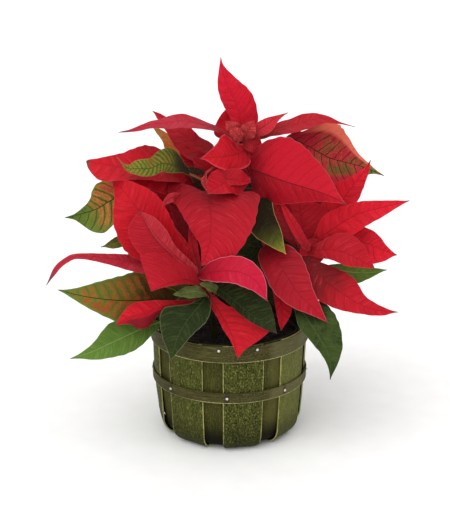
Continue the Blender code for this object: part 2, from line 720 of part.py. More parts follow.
def fused(name, shapes, finish, smooth_angle=30):
    """One object from overlapping closed shapes, by a Boolean union."""
    pieces = [mesh_object(f"{name}_{i}", points, faces) for i, (points, faces) in enumerate(shapes)]
    first, rest = pieces[0], pieces[1:]
    group = bpy.data.collections.new(name)
    bpy.context.scene.collection.children.link(group)
    for piece in rest:
        bpy.context.scene.collection.objects.unlink(piece)
        group.objects.link(piece)
    union = first.modifiers.new("union", "BOOLEAN")
    union.operation = "UNION"
    union.operand_type = "COLLECTION"
    union.collection = group
    union.solver = "MANIFOLD"
    bpy.context.view_layer.update()
    graph = bpy.context.evaluated_depsgraph_get()
    mesh = bpy.data.meshes.new_from_object(first.evaluated_get(graph))
    for piece in pieces:
        bpy.data.objects.remove(piece, do_unlink=True)
    bpy.data.collections.remove(group)
    weld(mesh)
    mesh.name = name
    mesh.materials.clear()
    mesh.materials.append(finish)
    mesh.shade_smooth()
    mesh.set_sharp_from_angle(angle=math.radians(smooth_angle))
    obj = bpy.data.objects.new(name, mesh)
    bpy.context.scene.collection.objects.link(obj)
    return obj


def weld(mesh):
    """Joins points that a Boolean left closer together than WELD."""
    welded = bmesh.new()
    welded.from_mesh(mesh)
    bmesh.ops.remove_doubles(welded, verts=welded.verts, dist=mm(WELD))
    welded.to_mesh(mesh)
    welded.free()


def leaf_shape(stem, shape):
    """The closed solid of one leaf or bract with its petiole."""
    length = sum((Vector(b) - Vector(a)).length for a, b in zip(shape["spine"], shape["spine"][1:]))
    rows = SMALL_BLADE_ROWS if length < SMALL_BLADE_LENGTH else BLADE_ROWS
    return slab_from_grids(*blade_grids(stem, shape, rows, BLADE_COLUMNS, BLADE_THICKNESS))


def cyathium(foot, out, size):
    """One small barrel-shaped cyathium with a pinched mouth."""
    route = [foot + out * size * height for height, _ in CYATHIUM_PROFILE]
    return tube(route, [size * radius for _, radius in CYATHIUM_PROFILE], CYATHIUM_SIDES)


def build_plant(name, plant, finishes):
    stem = stem_route(plant)
    joint = plant["joint"]
    length = sum((b - a).length for a, b in zip(stem, stem[1:]))
    slit = STEM_GAP / length
    green = part_of_route(stem, 0.0, joint)
    count = len(green) - 1
    taper = STEM_FOOT_RADIUS - STEM_TOP_RADIUS
    green_radii = [STEM_FOOT_RADIUS - taper * joint * max(0, i - 1) / (count - 1) for i in range(count + 1)]
    shapes = [tube(green, green_radii, STEM_SIDES), *(leaf_shape(stem, leaf) for leaf in plant["leaves"])]
    fused(f"leafy_stem_{name}", shapes, finishes["green"])

    red = [*part_of_route(stem, joint + slit, 1.0), stem[-1] + Vector(plant["neck"])]
    top_radius = STEM_TOP_RADIUS + STEM_HEAD_SWELL
    swell = top_radius - green_radii[-1]
    red_radii = [green_radii[-1] + swell * i / (len(red) - 1) for i in range(len(red))]
    shapes = [tube(red, red_radii, STEM_SIDES), *(leaf_shape(stem, bract) for bract in plant["bracts"])]
    fused(f"bloom_{name}", shapes, finishes["red"])

    if not plant["beads"]:
        return
    tip = red[-1]
    out = (red[-1] - red[-2]).normalized()
    aside = out.orthogonal().normalized()
    seat = tip + out * GAP
    shapes = [tube([seat, seat + out * 1.6], [2.6, 2.2], STEM_SIDES)]
    for i in range(plant["beads"]):
        turn = math.radians(137.5 * i)
        ring = 0.0 if i == 0 else 1.5 + 0.28 * i
        spread = (math.cos(turn) * aside + math.sin(turn) * out.cross(aside)) * ring
        lean = (out + 0.16 * spread).normalized()
        shapes.append(cyathium(seat + out * 0.8 + spread * 0.62, lean, CYATHIUM_SIZE - 0.12 * i))
    fused(f"cyathia_{name}", shapes, finishes["cyathium"])


# Basket


def flatness(height):
    """How far a stave's cross-section is flattened at a height: held round at the bands, flat at the foot."""
    drop = (HOOP_BOTTOM - height) / (HOOP_BOTTOM - HEEL_HEIGHT)
    return FOOT_FLATNESS * min(max(drop, 0.0), 1.0) ** 1.5


def stave_profile(inset):
    """(radius, height) down the outer face of a stave set in by inset, with the heel as an arc."""
    line = [(RIM_RADIUS, STAVE_TOP), (WAIST_RADIUS, WAIST_HEIGHT), (BELLY_RADIUS, BELLY_HEIGHT)]
    for i in range(HEEL_STEPS + 1):
        turn = math.pi / 2 * i / HEEL_STEPS
        radius = FOOT_RADIUS + (HEEL_RADIUS - FOOT_RADIUS) * math.cos(turn)
        line.append((radius, HEEL_HEIGHT * (1 - math.sin(turn))))
    moved = []
    for i, (radius, height) in enumerate(line):
        before, after = line[max(i - 1, 0)], line[min(i + 1, len(line) - 1)]
        along = Vector((after[0] - before[0], after[1] - before[1])).normalized()
        if i == 0:
            along = Vector((0.0, -1.0))
        if i == len(line) - 1:
            along = Vector((-1.0, 0.0))
        moved.append((radius + along.y * inset, height - along.x * inset))
    return moved


# half angle, inset from the outer face, thickness, tuck and columns
STAVE_SHAPE = (STAVE_HALF_ANGLE, 0.0, STAVE_THICKNESS, 0.0, STAVE_COLUMNS)
INNER_STAVE_SHAPE = (
    INNER_STAVE_HALF_ANGLE, INNER_STAVE_INSET, INNER_STAVE_THICKNESS, INNER_STAVE_TUCK, INNER_STAVE_COLUMNS,
)  # fmt: skip


def build_stave(name, middle, shape, finish):
    half_angle, inset, thickness, tuck, columns = shape
    grids = []
    for depth in (inset, inset + thickness):
        grid = []
        for (radius, height), (_, seen_height) in zip(stave_profile(depth), stave_profile(0)):
            line = []
            for c in range(columns):
                angle = half_angle * (1 - 2 * c / (columns - 1))
                flat = math.cos(math.radians(half_angle)) / math.cos(math.radians(angle))
                share = flatness(seen_height)
                line.append(polar(radius * (1 - share + share * flat * (1 - tuck)), middle + angle, height))
            grid.append(line)
        grids.append(grid)
    points, faces = slab_from_grids(*grids)
    return mesh_object(name, points, faces, finish, 40)


def build_ring(name, outer, inner, bottom, top, finish):
    """A band bent round the basket; outer and inner are its radii at the bottom and at the top."""
    profile = [(inner[0], bottom), (outer[0], bottom), (outer[1], top), (inner[1], top)]
    points, faces = [], []
    size = len(profile)
    for s in range(RING_SIDES):
        points += [polar(radius, 360 * s / RING_SIDES, height) for radius, height in profile]
    for s in range(RING_SIDES):
        following = (s + 1) % RING_SIDES
        for p in range(size):
            q = (p + 1) % size
            faces.append((s * size + p, following * size + p, following * size + q, s * size + q))
    return mesh_object(name, points, faces, finish, 30)


def build_turned(name, profile, sides, finish, bump=0.0):
    """A solid turned about the basket's axis from a profile that starts and ends on it."""
    points = [Vector((0, 0, profile[0][1])), Vector((0, 0, profile[-1][1]))]
    faces = []
    rings = profile[1:-1]
    for radius, height in rings:
        for s in range(sides):
            place = polar(radius, 360 * s / sides, height)
            if height > SOIL_EDGE_HEIGHT:
                place.z += bump * math.sin(place.x * 0.21 + 1.0) * math.cos(place.y * 0.27)
            points.append(place)
    for r in range(len(rings) - 1):
        for s in range(sides):
            a, b = 2 + r * sides + s, 2 + r * sides + (s + 1) % sides
            faces.append((a, b, b + sides, a + sides))
    for s in range(sides):
        first, last = 2, 2 + (len(rings) - 1) * sides
        faces.append((0, first + (s + 1) % sides, first + s))
        faces.append((1, last + s, last + (s + 1) % sides))
    return mesh_object(name, points, faces, finish, 30)


def rod(centre, out, low, high, radius, sides):
    """A straight closed cylinder along out, between two distances from centre."""
    return tube([centre + out * low, centre + out * high], [radius, radius], sides)


def cut(obj, shapes):
    """Takes closed shapes away from an object."""
    if not shapes:
        return
    for i, (points, faces) in enumerate(shapes):
        cutter = mesh_object(f"{obj.name}_cutter_{i}", points, faces)
        cutter.hide_render = True
        cutter.display_type = "WIRE"
        hole = obj.modifiers.new("hole", "BOOLEAN")
        hole.operation = "DIFFERENCE"
        hole.object = cutter
    bpy.context.view_layer.update()
    graph = bpy.context.evaluated_depsgraph_get()
    mesh = bpy.data.meshes.new_from_object(obj.evaluated_get(graph))
    weld(mesh)
    cutters = [modifier.object for modifier in obj.modifiers]
    obj.modifiers.clear()
    obj.data = mesh
    for cutter in cutters:
        bpy.data.objects.remove(cutter, do_unlink=True)


def build_nail(name, radius, angle, height, finish, shank):
    out = polar(1, angle, 0)
    seat = polar(radius, angle, height) + out * GAP
    profile = (
        (-shank, NAIL_SHANK_RADIUS), (-0.02, NAIL_SHANK_RADIUS), (0.0, NAIL_HEAD_RADIUS),
        (NAIL_HEAD_HEIGHT, NAIL_HEAD_RADIUS * 0.6),
    )  # fmt: skip
    points, faces = tube([seat + out * place for place, _ in profile], [r for _, r in profile], NAIL_SIDES)
    return mesh_object(name, points, faces, finish, 30)


def stave_angles():
    return [FIRST_STAVE_ANGLE + STAVE_PITCH * k for k in range(STAVE_COUNT)]


def nail_hole(face_radius, angle, height):
    low, high = (face_radius + reach for reach in NAIL_HOLE_REACH)
    return rod(polar(0, 0, height), polar(1, angle, 0), low, high, NAIL_HOLE_RADIUS, NAIL_SIDES)


def build_basket(finishes):
    angles = stave_angles()
    staves, inner_staves = [], []
    for k, angle in enumerate(angles):
        staves.append(build_stave(f"stave_{k + 1}", angle, STAVE_SHAPE, finishes["chip"]))
        inner_name = f"inner_stave_{k + 1}"
        inner_staves.append(
            build_stave(inner_name, angle + STAVE_PITCH / 2, INNER_STAVE_SHAPE, finishes["chip_dark"])
        )
    rim_inner = RIM_RADIUS + BAND_FIT
    rim_outer = rim_inner + BAND_THICKNESS
    rim = build_ring(
        "rim_band", (rim_outer - RIM_BAND_TAPER, rim_outer), (rim_inner - RIM_BAND_TAPER, rim_inner),
        BASKET_HEIGHT - RIM_BAND_HEIGHT, BASKET_HEIGHT, finishes["band"],
    )  # fmt: skip
    hoop_inner = WAIST_RADIUS + HOOP_FIT
    hoop_outer = hoop_inner + BAND_THICKNESS
    hoop = build_ring(
        "hoop", (hoop_outer, hoop_outer), (hoop_inner, hoop_inner), HOOP_BOTTOM, HOOP_BOTTOM + HOOP_HEIGHT,
        finishes["band"],
    )  # fmt: skip
    lining_outer = RIM_RADIUS - INNER_STAVE_INSET - INNER_STAVE_THICKNESS - RIM_LINING_FIT
    lining_inner = lining_outer - BAND_THICKNESS
    build_ring(
        "rim_lining", (lining_outer, lining_outer), (lining_inner, lining_inner),
        BASKET_HEIGHT - RIM_LINING_HEIGHT, STAVE_TOP, finishes["band"],
    )  # fmt: skip

    stave_holes = {k: [] for k in range(STAVE_COUNT)}
    inner_holes = {k: [] for k in range(STAVE_COUNT)}
    hoop_holes = []
    height = HOOP_BOTTOM + HOOP_HEIGHT / 2
    for k, angle in enumerate(angles):
        place = angle + HOOP_NAIL_OFFSET
        build_nail(f"hoop_nail_{k + 1}", hoop_outer, place, height, finishes["nail"], HOOP_NAIL_SHANK)
        hole = nail_hole(hoop_outer, place, height)
        hoop_holes.append(hole)
        stave_holes[k].append(hole)
    rim_holes = []
    height = BASKET_HEIGHT - RIM_NAIL_DROP
    for k in range(0, STAVE_COUNT, 2):
        for side, (offset, shank) in enumerate(zip(RIM_NAIL_OFFSETS, RIM_NAIL_SHANKS)):
            place = angles[k] + offset
            build_nail(f"rim_nail_{k + side + 1}", rim_outer, place, height, finishes["nail"], shank)
            hole = nail_hole(rim_outer, place, height)
            rim_holes.append(hole)
            if side == 0:
                inner_holes[(k - 1) % STAVE_COUNT].append(hole)
            else:
                stave_holes[k].append(hole)
    cut(hoop, hoop_holes)
    cut(rim, rim_holes)
    for k in range(STAVE_COUNT):
        cut(staves[k], stave_holes[k])
        cut(inner_staves[k], inner_holes[k])

    board = [
        (0, 0), (BOARD_RADIUS - BOARD_CHAMFER, 0), (BOARD_RADIUS, BOARD_CHAMFER),
        (BOARD_RADIUS, BOARD_THICKNESS), (0, BOARD_THICKNESS),
    ]  # fmt: skip
    build_turned("base_board", board, RING_SIDES, finishes["chip_dark"])


def pot_radius(height):
    share = (height - BOARD_THICKNESS - GAP) / POT_HEIGHT
    return POT_FOOT_RADIUS + (POT_TOP_RADIUS - POT_FOOT_RADIUS) * share


def build_growing_pot(finish):
    bottom = BOARD_THICKNESS + GAP
    top = bottom + POT_HEIGHT
    floor = bottom + POT_WALL
    profile = [
        (0, bottom), (pot_radius(bottom), bottom), (pot_radius(top), top), (pot_radius(top) - POT_WALL, top),
        (pot_radius(floor) - POT_WALL, floor), (0, floor),
    ]  # fmt: skip
    build_turned("growing_pot", profile, RING_SIDES, finish)


def build_soil(finish):
    base = BOARD_THICKNESS + POT_WALL + 2 * GAP
    edge = pot_radius(SOIL_EDGE_HEIGHT) - POT_WALL - SOIL_FIT
    mound = [(0, base), (pot_radius(base) - POT_WALL - SOIL_FIT, base), (edge, SOIL_EDGE_HEIGHT)]
    for share in SOIL_RING_SHARES:
        rise = (SOIL_CROWN_HEIGHT - SOIL_EDGE_HEIGHT) * (1 - share**2)
        mound.append((edge * share, SOIL_EDGE_HEIGHT + rise))
    mound.append((0, SOIL_CROWN_HEIGHT))
    soil = build_turned("soil", mound, SOIL_SIDES, finish, SOIL_BUMP)
    up = Vector((0, 0, 1))
    low, high, radius = STEM_FOOT_DEPTH - GAP, BASKET_HEIGHT, STEM_FOOT_RADIUS + GAP
    feet = [Vector((*plant["foot"], 0)) for plant in PLANTS.values()]
    cut(soil, [rod(foot, up, low, high, radius, 2 * STEM_SIDES) for foot in feet])


def main():
    clear_scene()
    finishes = {
        "red": material("red_bract", RED, 0.45),
        "green": material("green_leaf", GREEN, 0.45),
        "cyathium": material("cyathium", CYATHIUM_GREEN, 0.5),
        "chip": material("chip_wood", CHIP_WOOD, 0.8),
        "chip_dark": material("chip_wood_dark", CHIP_WOOD_DARK, 0.85),
        "band": material("band_wood", BAND_WOOD, 0.75),
        "pot": material("pot_plastic", POT_PLASTIC, 0.5),
        "peat": material("peat", PEAT, 0.95),
        "nail": material("nail_steel", NAIL_STEEL, 0.35, 1.0),
    }
    build_basket(finishes)
    build_growing_pot(finishes["pot"])
    build_soil(finishes["peat"])
    for name, plant in PLANTS.items():
        build_plant(name, plant, finishes)


main()
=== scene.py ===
import math
from functools import partialmethod

import bpy
import numpy as np
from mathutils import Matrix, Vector


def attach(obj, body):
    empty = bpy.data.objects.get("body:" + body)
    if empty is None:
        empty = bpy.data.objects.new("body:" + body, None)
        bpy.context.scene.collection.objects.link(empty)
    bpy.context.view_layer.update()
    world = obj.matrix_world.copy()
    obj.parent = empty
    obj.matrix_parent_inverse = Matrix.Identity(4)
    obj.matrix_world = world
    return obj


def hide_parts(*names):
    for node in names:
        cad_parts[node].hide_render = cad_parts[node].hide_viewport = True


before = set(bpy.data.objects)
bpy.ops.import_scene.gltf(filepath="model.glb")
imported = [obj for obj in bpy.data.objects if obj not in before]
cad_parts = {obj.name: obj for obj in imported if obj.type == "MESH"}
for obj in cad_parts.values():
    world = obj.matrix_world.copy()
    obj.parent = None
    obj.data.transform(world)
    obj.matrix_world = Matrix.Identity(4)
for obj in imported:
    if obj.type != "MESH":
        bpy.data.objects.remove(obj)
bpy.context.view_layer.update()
print("frame loaded:", len(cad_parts), "nodes")

# A potted poinsettia in a chip-wood basket. Sizes below are in millimetres and angles in degrees, the front
# is -Y, and colours are 0 to 255 as a screen shows them.
mm = 0.001
fullTurn = 2 * math.pi


def tone(red, green, blue):
    # a screen colour as the linear values that a shader takes
    return tuple(((c / 255 + 0.055) / 1.055) ** 2.4 for c in (red, green, blue)) + (1.0,)


# Node trees

class Wire:
    # One output of a node. Arithmetic with it adds Math nodes, so that a pattern reads as an expression.
    def __init__(self, tree, socket):
        self.tree, self.socket = tree, socket

    def maths(self, operation, *values):
        return self.tree.node("ShaderNodeMath", {"operation": operation}, dict(enumerate((self, *values))))[0]

    __add__ = __radd__ = partialmethod(maths, "ADD")
    __sub__ = partialmethod(maths, "SUBTRACT")
    __rsub__ = partialmethod(maths, "MULTIPLY_ADD", -1.0)
    __mul__ = __rmul__ = partialmethod(maths, "MULTIPLY")
    __truediv__ = partialmethod(maths, "DIVIDE")
    __pow__ = partialmethod(maths, "POWER")

    def between(self, low, high):
        # 0 at low and 1 at high, smoothly; low may be the greater one
        sockets = {"Value": self, "From Min": low, "From Max": high}
        return self.tree.node("ShaderNodeMapRange", {"interpolation_type": "SMOOTHSTEP"}, sockets)[0]


class Outlets:
    # The outputs of a node, by name or number
    def __init__(self, tree, node):
        self.tree, self.node = tree, node

    def __getitem__(self, name):
        return Wire(self.tree, self.node.outputs[name])


class Tree:
    # A shader or geometry tree that is being filled
    def __init__(self, tree):
        self.tree = tree

    def node(self, kind, settings=None, sockets=None):
        # any node: its settings come first, then the values or links of its sockets
        made = self.tree.nodes.new(kind)
        for name, value in (settings or {}).items():
            setattr(made, name, value)
        for name, value in (sockets or {}).items():
            self.join(made.inputs[name], value)
        return Outlets(self, made)

    def join(self, socket, value):
        if isinstance(value, Wire):
            self.tree.links.new(value.socket, socket)
        else:
            socket.default_value = value

    def split(self, vector):
        parts = self.node("ShaderNodeSeparateXYZ", {}, {0: vector})
        return parts[0], parts[1], parts[2]

    def vector(self, x, y, z):
        return self.node("ShaderNodeCombineXYZ", {}, {0: x, 1: y, 2: z})[0]

    def around(self, radius, angle, height):
        # the place at an angle from the front
        return self.vector(radius * angle.maths("SINE"), radius * angle.maths("COSINE") * -1, height)

    def scaled(self, vector, by):
        return self.node("ShaderNodeVectorMath", {"operation": "SCALE"}, {0: vector, "Scale": by})[0]

    def noise(self, vector, scale, detail):
        return self.node("ShaderNodeTexNoise", {}, {"Vector": vector, "Scale": scale, "Detail": detail})[0]

    def cells(self, vector, scale):
        # distance from the nearest wall of a net of cells
        sockets = {"Vector": vector, "Scale": scale}
        return self.node("ShaderNodeTexVoronoi", {"feature": "DISTANCE_TO_EDGE"}, sockets)[0]

    def ramp(self, factor, stops):
        made = self.node("ShaderNodeValToRGB", {}, {0: factor})
        marks = made.node.color_ramp.elements
        while len(marks) < len(stops):
            marks.new(1.0)
        for mark, (place, colour) in zip(marks, stops):
            mark.position, mark.color = place, tone(*colour)
        return made[0]

    def painted(self, colour, look, *layers):
        # one colour of the look over another; each layer is how much of it there is and its name
        for factor, name in layers:
            sockets = {0: factor, 6: colour, 7: tone(*look[name])}
            colour = self.node("ShaderNodeMix", {"data_type": "RGBA"}, sockets)[2]
        return colour

    def attribute(self, name, output="Vector"):
        return self.node("ShaderNodeAttribute", {"attribute_name": name})[output]

    def bump(self, height, strength, depth):
        sockets = {"Height": height, "Strength": strength, "Distance": depth * mm}
        return self.node("ShaderNodeBump", {}, sockets)[0]

    def objectPlace(self):
        return self.node("ShaderNodeTexCoord")["Object"]

    def together(self, *shapes):
        joined = self.node("GeometryNodeJoinGeometry")
        for shape in shapes:
            self.tree.links.new(shape.socket, joined.node.inputs[0])
        return joined[0]

    def moved(self, shape, position):
        return self.node("GeometryNodeSetPosition", {}, {"Geometry": shape, "Position": position})[0]


def newMaterial(name, constants, fill):
    # constants go on the shader's own sockets, and fill returns what varies over the surface
    made = bpy.data.materials.new(name)
    made.use_nodes = True
    tree = Tree(made.node_tree)
    shader = made.node_tree.nodes["Principled BSDF"]
    for socket, value in constants.items():
        shader.inputs[socket].default_value = value
    for socket, value in fill(tree).items():
        tree.join(shader.inputs[socket], value)
    return made


def newShapeTree(name, inputs):
    # a geometry tree with named inputs; returns it, its inputs' node and a function that ends it
    group = bpy.data.node_groups.new(name, "GeometryNodeTree")
    kinds = {int: "NodeSocketInt", float: "NodeSocketFloat"}
    group.interface.new_socket("Geometry", in_out="INPUT", socket_type="NodeSocketGeometry")
    for label, value in inputs.items():
        socket = group.interface.new_socket(label, in_out="INPUT", socket_type=kinds[type(value)])
        socket.default_value = value
    group.interface.new_socket("Geometry", in_out="OUTPUT", socket_type="NodeSocketGeometry")
    tree = Tree(group)

    def end(shape, skin):
        real = tree.node("GeometryNodeRealizeInstances", {}, {0: shape})[0]
        finished = tree.node("GeometryNodeSetMaterial", {}, {"Geometry": real, "Material": skin})[0]
        tree.node("NodeGroupOutput", {}, {0: finished})

    return tree, tree.node("NodeGroupInput"), end


# Meshes and objects

def newObject(name, data):
    made = bpy.data.objects.new(name, data)
    bpy.context.scene.collection.objects.link(made)
    return made


def newMesh(name, points, faces, smoothAngle, marks):
    # a mesh from points in millimetres; marks are named vectors, one for each point
    mesh = bpy.data.meshes.new(name)
    mesh.from_pydata((np.array(points) * mm).tolist(), [], faces)
    for label, values in marks.items():
        layer = mesh.attributes.new(label, "FLOAT_VECTOR", "POINT")
        layer.data.foreach_set("vector", np.array(values, dtype=np.float32).ravel())
    mesh.update()
    mesh.shade_smooth()
    mesh.set_sharp_from_angle(angle=math.radians(smoothAngle))
    return mesh


def grow(name, tree, values, base=None):
    # a plain mesh object from a geometry tree with these values, on the base mesh if there is one
    start = newObject(name, base or bpy.data.meshes.new(name))
    modifier = start.modifiers.new("grow", "NODES")
    modifier.node_group = tree.tree
    for item in tree.tree.interface.items_tree:
        if item.in_out == "INPUT" and item.name in values:
            modifier[item.identifier] = values[item.name]
    graph = bpy.context.evaluated_depsgraph_get()
    mesh = bpy.data.meshes.new_from_object(start.evaluated_get(graph))
    start.modifiers.clear()
    start.data = mesh
    mesh.name = name
    return start


def ring(radius, height, sides):
    # points round the Z axis
    turns = [fullTurn * i / sides for i in range(sides)]
    return [(radius * math.cos(turn), radius * math.sin(turn), height) for turn in turns]


def placeInFrame(piece, slot, *nodes):
    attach(piece, "root")
    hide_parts(*nodes)


# Bracts and leaves

# How a bract is coloured: ground runs from its foot to its tip, and each power is from 0 to 1
plainBract = {
    "ground": [(0.0, (140, 5, 18)), (0.3, (190, 9, 28)), (1.0, (204, 13, 33))],
    "vein": (140, 5, 20), "veinPower": 0.2, "veinWidth": 0.055, "netPower": 0.06,
    "rib": (132, 6, 20), "ribPower": 0.5,
    # the folds are painted shade in their troughs and a painted sheen on their ridges
    "folds": 4.0, "foldPower": 0.36, "foldDepth": 1.0, "glow": (224, 72, 88),
    "patch": (160, 7, 24), "patchPower": 0.25, "patchSpan": (0.0, 1.0), "patchWide": 1.0, "between": 0.0,
    "core": (160, 7, 24), "corePower": 0.0,
    "under": (186, 34, 54), "underPower": 0.5,
    "half": (120, 8, 28), "halfPower": 0.0, "halfFrom": 0.0,
    # rim is a paler edge: partly the margin's own colour, partly painted highlight where the edge catches
    # light
    "rim": (200, 76, 84), "rimPower": 0.25, "rimWidth": 0.6,
    "tip": (92, 62, 62), "tipFrom": 0.95, "stalk": (150, 40, 44), "pleat": 0.3, "spacing": 0.0,
    "gloss": 0.15,
}
plainLeaf = plainBract | {
    "ground": [(0.0, (34, 46, 18)), (0.5, (48, 64, 26)), (1.0, (56, 76, 32))],
    "vein": (84, 102, 52), "veinPower": 0.3, "netPower": 0.15, "rib": (112, 124, 74), "ribPower": 0.5,
    "glow": (96, 112, 60), "foldPower": 0.25,
    "patch": (28, 38, 16), "patchPower": 0.4, "under": (88, 112, 68), "underPower": 0.7,
    "rim": (126, 138, 86), "rimPower": 0.4, "tip": (70, 60, 40), "stalk": (146, 84, 62), "pleat": 0.4,
    "gloss": 0.06,
}
